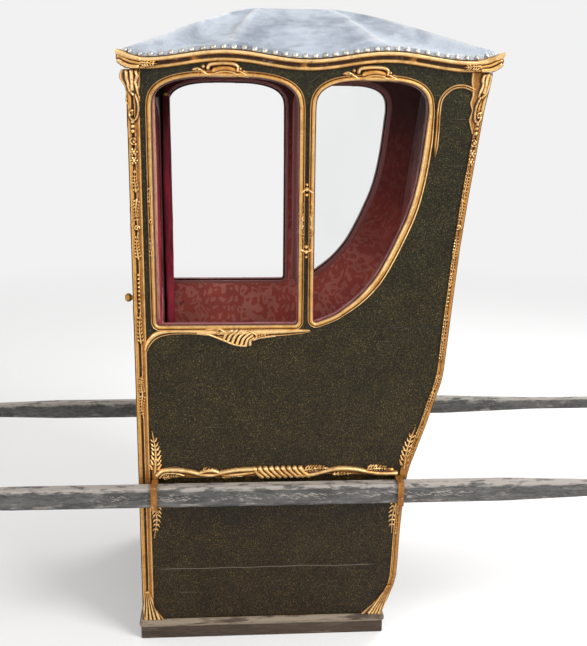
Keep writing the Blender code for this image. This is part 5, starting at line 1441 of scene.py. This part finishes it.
def damask_effect():
    """Silk damask: large faded leaves and flowers that shine against a duller ground, over a fine weave."""
    tree, takes, gives = new_effect("silk_damask", [
        ("Vector", "NodeSocketVector", None), ("Ground", "NodeSocketColor", None), ("Figure", "NodeSocketColor", None),
    ], [("Color", "NodeSocketColor"), ("Height", "NodeSocketFloat"), ("Roughness", "NodeSocketFloat")])
    spot = takes.outputs["Vector"]
    drift = wire(tree, "ShaderNodeTexNoise", {"Vector": spot, "Scale": 9.0, "Detail": 3.0}).outputs["Color"]
    drift = wire(tree, "ShaderNodeVectorMath", {0: drift, 1: (0.09, 0.09, 0.09)}, operation="MULTIPLY").outputs[0]
    bent = wire(tree, "ShaderNodeVectorMath", {0: spot, 1: drift}, operation="ADD").outputs[0]
    part = wire(tree, "ShaderNodeSeparateXYZ", {0: bent}).outputs
    across = product(tree, part[0], part[1], "ADD")

    def swing(value, rate):
        return wire(tree, "ShaderNodeMath", {0: product(tree, value, rate)}, operation="COSINE").outputs[0]

    lattice = product(tree, swing(across, 2 * math.pi / 0.24), swing(part[2], 2 * math.pi / 0.34), "ADD")
    petals = product(tree, swing(across, 6 * math.pi / 0.12), swing(part[2], 6 * math.pi / 0.17))
    leaves = cloud(tree, bent, 20.0, 2.0, 0.5, 1.4)
    drawn = product(tree, product(tree, lattice, 0.55), product(tree, petals, 0.55), "ADD")
    drawn = product(tree, drawn, product(tree, leaves, 2.4), "ADD")
    figure = span(tree, wire(tree, "ShaderNodeMath", {0: product(tree, drawn, 4.4)}, operation="SINE").outputs[0],
                  0.05, 0.35)
    figure = product(tree, figure, span(tree, cloud(tree, spot, 4.0, 3.0), 0.30, 0.62, 0.35, 1.0))
    colour = blend(tree, figure, takes.outputs["Ground"], takes.outputs["Figure"])
    fading_and_painted_light = ramp(tree, cloud(tree, spot, 7.0, 4.0, 0.6), [(0.32, tint(208, 200, 200)), (0.66, tint(255, 252, 248))])
    colour = toned(tree, colour, fading_and_painted_light)
    stain = span(tree, cloud(tree, spot, 42.0, 2.0), 0.74, 0.80)
    colour = blend(tree, product(tree, stain, 0.7), colour, tint(72, 24, 24))
    weave = wire(tree, "ShaderNodeTexWave", {"Vector": spot, "Scale": 260.0, "Distortion": 1.5}, bands_direction="Z")
    tree.links.new(colour, gives.inputs["Color"])
    tree.links.new(product(tree, weave.outputs["Fac"], product(tree, figure, 0.8), "ADD"), gives.inputs["Height"])
    tree.links.new(span(tree, figure, 0.0, 1.0, 0.62, 0.44), gives.inputs["Roughness"])
    return tree


silk_damask = damask_effect()


def damask_finish(name, ground, figure, painted_top_shade=0.0):
    """Silk for one place. Where the cabin is closed in above it, its colour is painted darker towards the top, as
    shade.
    """
    skin, tree, shader = new_finish(name, 0.55, Sheen_Weight=0.25, Sheen_Roughness=0.4)
    spot = place_in(tree)
    made = wire(tree, "ShaderNodeGroup", {"Vector": spot, "Ground": ground, "Figure": figure}, node_tree=silk_damask)
    colour = made.outputs["Color"]
    if painted_top_shade:
        height = wire(tree, "ShaderNodeSeparateXYZ", {0: spot}).outputs[2]
        # Painted shade: the silk's colour grows darker towards the top of the cabin.
        shade = ramp(tree, span(tree, height, 0.85, 1.45), [
            (0.0, tint(255, 255, 255)), (0.5, tint(180, 130, 124)), (1.0, tint(92, 44, 42)),
        ])
        colour = blend(tree, painted_top_shade, colour, shade, "MULTIPLY")
    tree.links.new(colour, shader.inputs["Base Color"])
    tree.links.new(made.outputs["Roughness"], shader.inputs["Roughness"])
    bump(tree, shader, made.outputs["Height"], 0.0003)
    return skin


# Painted light and shade: the lining silk's colours are lighter than the silk itself, to stand in for light in the dim
# cabin, and its top is painted darker as shade.
lining_silk = damask_finish("lining_silk", tint(222, 112, 98), tint(242, 162, 146), 1.0)
ceiling_silk = damask_finish("ceiling_silk", tint(84, 26, 26), tint(112, 46, 42))


def silk_ceiling():
    edge = wall_ring(ROOF_OVERHANG, *ROOF_CELLS)
    crown = roof_crown(edge)
    sheets = []
    for drop in (ROOF_THICKNESS + 0.0006 + ROOF_SAG, ROOF_THICKNESS + 0.0006 + ROOF_SAG + CEILING_THICKNESS):
        rings = []
        for share in np.linspace(CEILING_SHARE, CEILING_SEAM, 12):
            flat = crown + (edge - crown) * share
            high = roof_height(edge, np.full(len(edge), share)) - drop + ROOF_SAG * max(0.0, share - 0.75) * 4
            rings.append(np.stack([flat[:, 0], flat[:, 1], high], axis=1))
        sheets.append(np.array(rings))
    rows = np.concatenate([sheets[0], sheets[1][::-1]], axis=0).transpose(1, 0, 2)
    return lofted(rows, closed=True)


ceiling = add_piece("ceiling_silk_sheet", [silk_ceiling()], ceiling_silk, "roof", (), 60.0)


# The silk linings
# Crimson damask over a thin layer of wadding, tacked to the boards inside the cabin and the door. A narrow
# rose-pink braid covers the tacks round each window.
LINING_CELL = 0.024
LINING_EDGE = 0.0032
BRAID_WIDTH, BRAID_PROUD = 0.0085, 0.0028
BRAID_REACH = {"left": (0.001, 0.003), "right": (0.001, 0.007)}
BRAID_SECTION = [
    (0.0, 0.0), (0.08, 0.62), (0.26, 1.0), (0.46, 0.55), (0.54, 0.55), (0.74, 1.0), (0.92, 0.62), (1.0, 0.0),
]


def gaps_to(loops, spots):
    """Distance of each flat place from the nearest of the outlines."""
    nearest = np.full(len(spots), 1.0)
    for loop in loops:
        run = np.roll(loop, -1, axis=0) - loop
        for start, way in zip(loop, run):
            share = np.clip(((spots - start) @ way) / max(way @ way, 1e-12), 0.0, 1.0)
            nearest = np.minimum(nearest, np.hypot(*(spots - start - share[:, None] * way).T))
    return nearest


def stuffed_lining(node, name, body, axis, way, fill, skin):
    """A packed lining cut fine and thinned along its edges, so that its inner face swells over the wadding."""
    work = bmesh.new()
    work.from_mesh(nodes[node].data)
    bmesh.ops.dissolve_limit(work, angle_limit=0.01, verts=work.verts, edges=work.edges)
    low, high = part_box(node)
    flat = [k for k in range(3) if k != axis]
    for k in flat:
        across = Vector([1.0 if i == k else 0.0 for i in range(3)])
        for level in np.arange(low[k] + LINING_CELL / 2, high[k], LINING_CELL):
            everything = [*work.verts, *work.edges, *work.faces]
            bmesh.ops.bisect_plane(work, geom=everything, dist=1e-6, plane_co=across * level, plane_no=across)
    inner = max(way * vertex.co[axis] for vertex in work.verts)
    facing = [vertex for vertex in work.verts if inner - way * vertex.co[axis] < 1e-4]
    spots = np.array([[vertex.co[k] for k in flat] for vertex in facing])
    away = gaps_to(rims(node, axis, way), spots)
    swell = np.sin(spots[:, 0] * 31.0 + 1.3) * np.sin(spots[:, 1] * 23.0) * 0.0004 - 0.0004
    for vertex, gap, wave in zip(facing, away, swell):
        vertex.co[axis] += way * (wave * min(1.0, gap / 0.03) - LINING_EDGE * math.exp(-gap / 0.011) * fill)
    bmesh.ops.triangulate(work, faces=[face for face in work.faces if len(face.verts) > 4])
    mesh = bpy.data.meshes.new(name)
    work.to_mesh(mesh)
    work.free()
    mesh.shade_smooth()
    mesh.set_sharp_from_angle(angle=math.radians(50.0))
    mesh.materials.append(skin)
    piece = bpy.data.objects.new(name, mesh)
    bpy.context.scene.collection.objects.link(piece)
    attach(piece, body)
    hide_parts(node)
    return piece


def braid_finish():
    skin, tree, shader = new_finish("rose_braid", 0.6, Sheen_Weight=0.3)
    spot = place_in(tree)
    twist = wire(tree, "ShaderNodeTexWave", {"Vector": spot, "Scale": 150.0, "Distortion": 2.0},
                 bands_direction="DIAGONAL").outputs["Fac"]
    tone = ramp(tree, twist, [(0.2, tint(112, 44, 50)), (0.6, tint(178, 104, 104)), (0.9, tint(206, 144, 136))])
    tree.links.new(tone, shader.inputs["Base Color"])
    bump(tree, shader, twist, 0.0006)
    return skin


def on_inside(way, level):
    """Places on the inner face of a side wall: height stands out towards the middle of the cabin."""
    def place(flat, rise):
        return np.stack([flat[..., 0], way * (level - rise), flat[..., 1]], axis=-1)
    return place


def inside_door(level):
    def place(flat, rise):
        return np.stack([level + rise, flat[..., 0], flat[..., 1]], axis=-1)
    return place


def by_divider(line):
    """How much wider the far rear window's braid is where it borders the divider."""
    return 0.011 * np.clip((line[:, 0].min() + 0.03 - line[:, 0]) / 0.03, 0.0, 1.0)


def drawn_in(loop, reach, more=None):
    """An opening's outline moved inwards."""
    line = smooth(kept_corners(loop), 0.005, closed=True)
    if more:
        reach = reach + more(line)[:, None]
    return line - outwards(line) * reach


rose_braid = braid_finish()
for name, way in SIDES:
    stuffed_lining(f"side_lining_{name}", f"side_silk_{name}", "chair_body", 1, -way, 0.5, lining_silk)
    inside = on_inside(way, 0.2982 + LINING_EDGE * 0.5)
    holes = rims(f"side_lining_{name}", 1, -way)[1:]
    mores = (None, by_divider if name == "right" else None)
    braids = [
        framed(drawn_in(loop, reach, more), BRAID_WIDTH + reach, BRAID_SECTION, 0.005, inside, (), more, BRAID_PROUD)
        for loop, reach, more in zip(sorted(holes, key=lambda loop: loop[:, 0].mean()), BRAID_REACH[name], mores)
    ]
    add_piece(f"window_braid_{name}", braids, rose_braid, "chair_body", ())
stuffed_lining("door_lining", "door_silk", "door", 0, 1.0, 0.4, lining_silk)
holes = rims("door_lining", 0, 1.0)[1:]
braids = [framed(loop, BRAID_WIDTH, BRAID_SECTION, 0.005, inside_door(-0.3417 - LINING_EDGE * 0.4), proud=BRAID_PROUD)
          for loop in holes]
add_piece("door_braid", braids, rose_braid, "door", ())


# The windows' reveals
# Strips of crimson silk glued round the edge of each opening, over the thickness of the side boards.
REVEAL_DEPTHS = (0.3325, 0.3112)
REVEAL_THICKNESS = 0.0016


def reveal_chunk(loop, way):
    line = smooth(kept_corners(loop), 0.004, closed=True)
    inner = drawn_in(loop, REVEAL_THICKNESS)
    inner = inner[[int(np.argmin(np.hypot(*(inner - spot).T))) for spot in line]]
    outer = line - (line - inner) * 0.1
    near, far = REVEAL_DEPTHS
    rows = [
        np.stack([flat[:, 0], np.full(len(flat), way * level), flat[:, 1]], axis=1)
        for flat, level in ((outer, near), (inner, near), (inner, far), (outer, far))
    ]
    return lofted(np.stack(rows, axis=1), closed=True)


# Painted shade: the reveal silk is darkened towards the top.
reveal_silk = damask_finish("reveal_silk", tint(140, 14, 34), tint(168, 34, 50), 0.6)
for name, way in SIDES:
    chunks = [reveal_chunk(loop, way) for loop in openings]
    add_piece(f"window_reveal_{name}", chunks, reveal_silk, "chair_body", ())


# The squab behind the sitter
# The same silk over a thicker pad that follows the bent back, quilted by rows of small silk-covered buttons.
SQUAB_CELL = 0.014
SQUAB_DEPTH = 0.007
BUTTON_RADIUS = 0.0075


def squab():
    low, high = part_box("back_lining")
    rows = np.append(np.arange(low[2], high[2], SQUAB_CELL), high[2])
    inner, outer = edges_of("back_lining", np.clip(rows, low[2] + 1e-5, high[2] - 1e-5))
    columns = np.linspace(low[1], high[1], 44)
    buttons = []
    for i, z in enumerate(np.arange(0.60, 1.46, 0.115)):
        for k in range(4 if i % 2 else 5):
            buttons.append(((k - (1.5 if i % 2 else 2.0)) * 0.120, z))
    y, z = np.meshgrid(columns, rows)
    edge = np.minimum.reduce([y - low[1], high[1] - y, z - low[2], high[2] - z])
    sunk = SQUAB_DEPTH * np.exp(-edge / 0.012)
    for spot in buttons:
        sunk = np.maximum(sunk, SQUAB_DEPTH * np.exp(-np.hypot(y - spot[0], z - spot[1]) / 0.020))
    front = np.stack([inner[:, None] + sunk, y, z], axis=-1)
    rear = np.stack([np.broadcast_to(outer[:, None], y.shape), y, z], axis=-1)[:, ::-1]
    points, faces, marks = lofted(np.concatenate([front, rear[:, [0, -1]]], axis=1))
    chunks = [(points, faces, marks)]
    for spot in buttons:
        depth = float(np.interp(spot[1], rows, inner)) + SQUAB_DEPTH
        rings = []
        for reach, rise in ((1.0, 0.0), (0.92, 0.35), (0.60, 0.62), (0.15, 0.72)):
            angles = np.linspace(0.0, 2 * math.pi, 12, endpoint=False)
            level, reach = np.full(12, depth - rise * 0.006 + 0.001), reach * BUTTON_RADIUS
            rings.append(np.stack([level, spot[0] + reach * np.cos(angles), spot[1] + reach * np.sin(angles)], axis=1))
        chunks.append(lofted(np.array(rings)))
    return chunks


back = add_piece("back_squab", squab(), lining_silk, "chair_body", ["back_lining"], 60.0)


# The window's wooden slip
# A thin strip of pear wood inside the front window, beside the curtain, that the blind's edge once ran in.
def slip_chunk(way):
    heights = np.linspace(0.905, 1.492, 66)
    ring = [(-0.3215, 0.3095), (-0.3140, 0.3095), (-0.3128, 0.3085), (-0.3128, 0.3050), (-0.3140, 0.3040),
            (-0.3215, 0.3040)]
    rows = [[(x + 0.0005 * math.sin(z * 21.0), way * y, z) for x, y in ring] for z in heights]
    return lofted(np.array(rows))


pear_wood = wood_finish(
    "pear_wood", (2.0, 2.0, 0.4), tint(150, 98, 74), tint(206, 156, 124), tint(224, 184, 156), 0.4, 0.0003, False
)
for name, way in SIDES:
    add_piece(f"window_slip_{name}", [slip_chunk(way)], pear_wood, "chair_body", ())


# The seat's cushion
# A loose cushion stuffed with horsehair and covered in the same silk, with a corded seam round both faces.
CUSHION_SHRINK = 0.007
CUSHION_REACH = 0.010
CUSHION_GRAIN, CUSHION_PRESSURE, CUSHION_FRAMES = 0.0075, 4.0, 20
CORD_RADIUS = 0.0035


def stuffed(mesh, name):
    """The cushion's cover blown up by its filling: a short cloth simulation under pressure, then held in bounds."""
    piece = bpy.data.objects.new(name, mesh)
    bpy.context.scene.collection.objects.link(piece)
    shell = piece.modifiers.new("even_mesh", "REMESH")
    shell.mode = "VOXEL"
    shell.voxel_size = CUSHION_GRAIN
    graph = bpy.context.evaluated_depsgraph_get()
    even = bpy.data.meshes.new_from_object(piece.evaluated_get(graph))
    piece.modifiers.clear()
    piece.data = even
    start = np.array([vertex.co for vertex in even.vertices])
    cloth = piece.modifiers.new("filling", "CLOTH")
    cloth.settings.use_pressure = True
    cloth.settings.uniform_pressure_force = CUSHION_PRESSURE
    cloth.settings.effector_weights.gravity = 0.0
    cloth.settings.quality = 4
    cloth.point_cache.frame_start = 1
    cloth.point_cache.frame_end = CUSHION_FRAMES
    for step in range(1, CUSHION_FRAMES + 1):
        bpy.context.scene.frame_set(step)
    graph = bpy.context.evaluated_depsgraph_get()
    done = bpy.data.meshes.new_from_object(piece.evaluated_get(graph))
    piece.modifiers.clear()
    bpy.context.scene.frame_set(1)
    spots = np.array([vertex.co for vertex in done.vertices])
    move = spots - start
    far = np.hypot(np.hypot(move[:, 0], move[:, 1]), move[:, 2])
    move *= np.minimum(1.0, CUSHION_REACH / np.maximum(far, 1e-9))[:, None]
    return piece, start + move


def seat_cushion():
    low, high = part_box("seat_cushion")
    middle = (Vector(low) + Vector(high)) / 2
    mesh = nodes["seat_cushion"].data.copy()
    for vertex in mesh.vertices:
        for k in range(3):
            half = (high[k] - low[k]) / 2
            vertex.co[k] = middle[k] + (vertex.co[k] - middle[k]) * (half - CUSHION_SHRINK) / half
    piece, spots = stuffed(mesh, "seat_cushion_silk")
    for k in range(3):
        spots[:, k] = np.clip(spots[:, k], low[k], high[k] + (0.006 if k == 2 else 0.0))
    spots[:, 2] = np.maximum(spots[:, 2], low[2] + 0.0002)
    piece.data.vertices.foreach_set("co", spots.reshape(-1).astype(np.float32))
    piece.data.shade_smooth()
    piece.data.materials.clear()
    piece.data.materials.append(lining_silk)
    smoother = piece.modifiers.new("smooth_cover", "SUBSURF")
    smoother.levels = smoother.render_levels = 1
    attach(piece, "chair_body")
    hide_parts("seat_cushion")
    return spots


def seam_cord(spots, level):
    """A round cord laid on the cushion's outermost edge at one height."""
    near = spots[np.abs(spots[:, 2] - level) < 0.006][:, :2]
    middle = (near.min(axis=0) + near.max(axis=0)) / 2
    size = np.ptp(near, axis=0) / 2
    line = []
    for angle in np.linspace(0.0, 2 * math.pi, 240, endpoint=False):
        way = np.array([math.cos(angle), math.sin(angle)]) * size
        way /= np.hypot(*way)
        along = (near - middle) @ way
        aside = np.abs((near - middle) @ np.array([-way[1], way[0]]))
        line.append(middle + way * along[aside < 0.012].max())
    line = smooth(np.array(line)[::3], 0.006, closed=True)
    out = lefts(line, closed=True)
    if ((line - middle) * out).sum() < 0:
        out = -out
    angles = np.linspace(0.0, 2 * math.pi, 10, endpoint=False)
    rows = [[(*(spot + way * CORD_RADIUS * math.cos(a)), level + CORD_RADIUS * math.sin(a)) for a in angles]
            for spot, way in zip(line - out * 0.0010, out)]
    return lofted(np.array(rows), closed=True)


cover = seat_cushion()
low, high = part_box("seat_cushion")
seams = [seam_cord(cover, low[2] + 0.016), seam_cord(cover, high[2] - 0.014)]
add_piece("seat_cushion_cord", seams, rose_braid, "chair_body", ())


# The curtains
# Narrow curtains of crimson velvet beside the door, gathered on a short brass rod under the ceiling.
CURTAIN_FOLDS = 6
CURTAIN_X = (-0.3355, -0.3100)
CURTAIN_Y = (0.2450, 0.2960)
CURTAIN_Z = (0.702, 1.478)
CURTAIN_THICKNESS = 0.0014
ROD_HEIGHT = 1.4835


def curtain_line(share, count=121):
    """The curtain's folds from above, at a share of the way down."""
    t = np.linspace(0.0, 1.0, count)
    middle = (CURTAIN_X[0] + CURTAIN_X[1]) / 2
    depth = (CURTAIN_X[1] - CURTAIN_X[0]) / 2 * (0.62 + 0.36 * min(1.0, share * 3))
    turn = t * CURTAIN_FOLDS * 2 * math.pi + 0.5 * math.sin(share * 5.0)
    x = middle + depth * np.sin(turn) * (0.82 + 0.18 * np.sin(t * 9.0 + share * 3.0))
    y = CURTAIN_Y[0] + (CURTAIN_Y[1] - CURTAIN_Y[0]) * (t + 0.016 * np.sin(2 * turn)) / 1.02 + 0.0004
    return np.stack([x, y], axis=1)


def curtain_chunk(way):
    rows = []
    for share in np.linspace(0.0, 1.0, 46):
        line = curtain_line(share)
        half = lefts(line) * CURTAIN_THICKNESS / 2
        z = CURTAIN_Z[1] + (CURTAIN_Z[0] - CURTAIN_Z[1]) * share
        ring = np.vstack([line + half, (line - half)[::-1]])
        rows.append(np.stack([ring[:, 0], way * ring[:, 1], np.full(len(ring), z)], axis=1))
    return lofted(np.array(rows))


def velvet_finish():
    skin, tree, shader = new_finish("crimson_velvet", 0.8, Sheen_Weight=0.9, Sheen_Roughness=0.35,
                                    Sheen_Tint=tint(255, 150, 160))
    spot = place_in(tree, (1.0, 1.0, 0.25))
    pile = cloud(tree, spot, 46.0, 4.0, 0.6)
    colour = ramp(tree, pile, [(0.30, tint(104, 10, 30)), (0.52, tint(156, 24, 54)), (0.75, tint(192, 52, 80))])
    height = wire(tree, "ShaderNodeSeparateXYZ", {0: place_in(tree)}).outputs[2]
    # Painted light: the curtain's lower part is blended towards a lighter pink, as light falling on it.
    fading_and_painted_light = span(tree, product(tree, height, product(tree, pile, 0.06), "ADD"), 0.96, 0.90)
    colour = blend(tree, fading_and_painted_light, colour, tint(206, 74, 98))
    # Painted shade: the curtain grows darker towards the top, under the ceiling.
    dark = ramp(tree, span(tree, height, 1.05, 1.45), [(0.0, tint(255, 255, 255)), (1.0, tint(150, 120, 126))])
    tree.links.new(toned(tree, colour, dark), shader.inputs["Base Color"])
    bump(tree, shader, cloud(tree, spot, 900.0, 2.0), 0.0004)
    return skin


def rod_chunk(way):
    angles = np.linspace(0.0, 2 * math.pi, 14, endpoint=False)
    middle = (CURTAIN_X[0] + CURTAIN_X[1]) / 2
    rows = []
    for y, radius in ((0.2420, 0.0008), (0.2422, 0.0046), (0.2450, 0.0054), (0.2470, 0.0030), (0.2960, 0.0030),
                      (0.2978, 0.0030)):
        rows.append([(middle + radius * math.cos(a), way * y, ROD_HEIGHT + radius * math.sin(a)) for a in angles])
    return lofted(np.array(rows))


velvet = velvet_finish()
gilt_brass = metal_finish("gilt_brass", tint(224, 178, 96), tint(128, 92, 44), 0.34, 0.20)
for name, way in SIDES:
    rod = add_piece(f"curtain_rod_{name}", [rod_chunk(way)], gilt_brass, "chair_body", (), 40.0)
    curtain = add_piece(f"curtain_velvet_{name}", [curtain_chunk(way)], velvet, "chair_body", [f"curtain_{name}"],
                        80.0)


# The windows' glass
# Thin crown glass, almost clear, let into the rear windows and the door.
def glass_finish():
    skin, tree, shader = new_finish("crown_glass", 0.02, Transmission_Weight=1.0, IOR=1.10)
    spot = place_in(tree, (1.0, 1.0, 0.5))
    tone = ramp(tree, cloud(tree, spot, 5.0), [(0.3, tint(248, 250, 249)), (0.7, tint(255, 255, 255))])
    tree.links.new(tone, shader.inputs["Base Color"])
    return skin


crown_glass = glass_finish()
for node in ("rear_glass_left", "rear_glass_right", "door_glass"):
    refinish(node, crown_glass)


# The door's mouldings
# The door opens the whole front. Its window has the same carved frame as the side windows, and a plain
# gilt moulding with carved corners frames the varnished field below.
DOOR_FRONT = -0.3723
FIELD_SIDE, FIELD_LOW, FIELD_HIGH, FIELD_ROUNDING = 0.2445, 0.130, 0.840, 0.050


def rounded_field():
    spots = []
    for turn, (y, z) in enumerate(((1.0, FIELD_HIGH), (-1.0, FIELD_HIGH), (-1.0, FIELD_LOW), (1.0, FIELD_LOW))):
        inner = (y * (FIELD_SIDE - FIELD_ROUNDING), z + (FIELD_ROUNDING if z == FIELD_LOW else -FIELD_ROUNDING))
        for step in range(7):
            angle = math.pi / 2 * (turn + step / 6)
            spots.append((inner[0] + FIELD_ROUNDING * math.cos(angle), inner[1] + FIELD_ROUNDING * math.sin(angle)))
    return np.array(spots)


def door_corner_leaves():
    strokes = []
    for side in (-1.0, 1.0):
        for z, up in ((FIELD_HIGH, -1.0), (FIELD_LOW, 1.0)):
            y, z_corner = side * (FIELD_SIDE - 0.006), z + up * 0.006
            for leaf in (((0.0, 0.0), (0.0, 0.045), (0.010, 0.085)), ((0.0, 0.0), (-0.045, 0.0), (-0.085, -0.010))):
                spine = [(y + side * across, z_corner + up * rise) for across, rise in leaf]
                strokes += frond(spine, 0.020, 0.0098, 6)
            strokes += curl((y, z_corner), 0.012, 0.0, side * up, 0.0036, 0.0098)
    return strokes


door_face = on_front(DOOR_FRONT)
window = rims("door_panel", 0, -1.0)[1]
head = window[:, 1].max() + MOULDING_WIDTH
chunk = framed(window, MOULDING_WIDTH, FRAME_SECTION, FRAME_STEP, door_face)
crown = carving(cartouche((0.0, head - 0.002)), door_face, FINE_CUT)
gild("door_window_frame", [chunk, crown], "door_window_moulding", "door")
chunk = framed(rounded_field(), MOULDING_WIDTH, FRAME_SECTION, FRAME_STEP, door_face)
leaves = carving(door_corner_leaves(), door_face, 0.0020)
gild("door_field_frame", [chunk, leaves], "door_field_moulding", "door")


# The handle and the hinges
# Gilt brass, cast and turned: a knob on the door, two hinges beside it and two behind the roof.
for node in nodes:
    if "hinge" in node or node == "door_handle":
        refinish(node, gilt_brass, 0.0006)


# The poles
# Two long ash poles, planed to eight sides and thinned at the ends for the bearers' hands. Their paint has
# weathered to grey. The outer face is carved in low relief with scrolled leaves between two ridges.
POLE_END, POLE_GRIP, POLE_RUN, POLE_TIP = 1.45, 0.600, 0.320, 0.012
POLE_GRIP_SHARE, POLE_TIP_SHARE = 0.66, 0.58
POLE_FRONT_LONGER, POLE_REAR_LONGER = 0.18, 0.08
POLE_MIDDLE = (0.368, 0.4405)
POLE_HALF = (0.022, 0.0275)
POLE_CUT = 0.007
POLE_CARVED = 0.50
POLE_RELIEF = 0.0011
POLE_THINNING = (POLE_END - POLE_GRIP - POLE_RUN, POLE_END - POLE_GRIP)


def pole_section():
    """The pole's eight-sided outline, closely spaced on its outer face, with how far in each place is."""
    wide, tall = POLE_HALF
    corners = [(wide, POLE_CUT - tall), (wide, tall - POLE_CUT), (wide - POLE_CUT, tall), (POLE_CUT - wide, tall),
               (-wide, tall - POLE_CUT), (-wide, POLE_CUT - tall), (POLE_CUT - wide, -tall), (wide - POLE_CUT, -tall)]
    ring = []
    for i, start in enumerate(corners):
        end = corners[(i + 1) % len(corners)]
        steps = 26 if i == 0 else (3 if i % 2 else 4)
        ring += [np.asarray(start) + (np.asarray(end) - start) * share for share in np.linspace(0, 1, steps, False)]
    return np.array(ring)


def pole_strokes():
    """Thin lines that wander and scroll, drawn along the pole and up."""
    strokes = []
    middle = POLE_MIDDLE[1]
    spots = np.arange(-POLE_CARVED, POLE_CARVED, 0.004)
    for phase, rate, swing in ((0.0, 47.0, 0.0080), (2.1, 61.0, 0.0062), (4.0, 83.0, 0.0048)):
        wave = middle + swing * np.sin(spots * rate + phase) + 0.0022 * np.sin(spots * rate * 3.3 + phase * 2)
        strokes.append((np.stack([spots, wave + 0.0012 * np.sin(spots * rate * 7.1)], axis=1), 0.0010, 1.0))
    for i, x in enumerate(np.arange(-POLE_CARVED + 0.02, POLE_CARVED - 0.03, 0.0375)):
        side = 1.0 if i % 2 else -1.0
        strokes += curl((x, middle + side * 0.006), 0.0065, 0.6 * i, side * 1.2, 0.0010, 1.0)
    return strokes


def pole_chunk(way):
    section = pole_section()
    stops = (POLE_CARVED, *POLE_THINNING, POLE_END - POLE_TIP)
    far = [np.linspace(*stretch)[1:] for stretch in zip(stops, stops[1:], (8, 16, 20))]
    far = np.concatenate([*far, POLE_END - np.array([0.008, 0.004, 0.0012, 0.0])])
    shown = np.arange(-POLE_CARVED, POLE_CARVED + 1e-6, 0.0029)
    places = np.concatenate([-far[::-1], shown, far])
    thinned = np.where(places < 0, -places - POLE_FRONT_LONGER, places - POLE_REAR_LONGER)
    shares = np.interp(thinned, POLE_THINNING, (1.0, POLE_GRIP_SHARE))
    tip = np.clip((np.abs(places) - POLE_END + POLE_TIP) / POLE_TIP, 0.0, 1.0)
    shares -= (POLE_GRIP_SHARE - POLE_TIP_SHARE) * (1 - np.sqrt(np.clip(1 - tip**2, 0.0, None)))
    wear_and_painted_light = 1 - 0.0006 / 0.022 * (np.sin(places * 37.0) + np.sin(places * 83.0 + 1.0) + 2) / 2
    y = POLE_MIDDLE[0] + section[None, :, 0] * (shares * wear_and_painted_light)[:, None]
    z = POLE_MIDDLE[1] + section[None, :, 1] * shares[:, None]
    flat = np.stack([np.broadcast_to(places[:, None], z.shape), z], axis=-1)
    outer_face = (section[:, 0] > POLE_HALF[0] - 1e-4)[None]
    carved = ridge_height(flat, pole_strokes()) * outer_face
    within = (np.abs(z - POLE_MIDDLE[1]) < 0.0160) & (np.abs(places) < POLE_CARVED - 0.004)[:, None]
    sunk = np.where(within & outer_face, POLE_RELIEF * (1 - np.minimum(carved, 1.0)), 0.0)
    # Painted light: the upper faces of the pole are marked paler, as if lit from above; the carved lines and the ridges
    # are marked as wear.
    top = np.clip((z - POLE_MIDDLE[1]) / (POLE_HALF[1] * shares[:, None]) - 0.55, 0.0, 0.45) / 0.45
    ridges = ~within & (np.abs(z - POLE_MIDDLE[1]) > 0.016)
    marks = np.clip(0.34 + 0.46 * top + 0.46 * np.minimum(carved, 1.0) + 0.16 * ridges, 0, 1)
    rows = np.stack([flat[..., 0], way * (y - sunk), z], axis=-1)
    points, faces, _ = lofted(rows)
    return points, faces, marks.reshape(-1)


pole_paint = wood_finish(
    "pole_paint", (0.8, 2.6, 3.4), tint(54, 53, 51), tint(106, 105, 102), tint(180, 172, 164), 0.85, 0.0007
)
for name, way in SIDES:
    add_piece(f"pole_carved_{name}", [pole_chunk(way)], pole_paint, f"pole_{name}", [f"pole_{name}"], 35.0)


low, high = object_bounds()
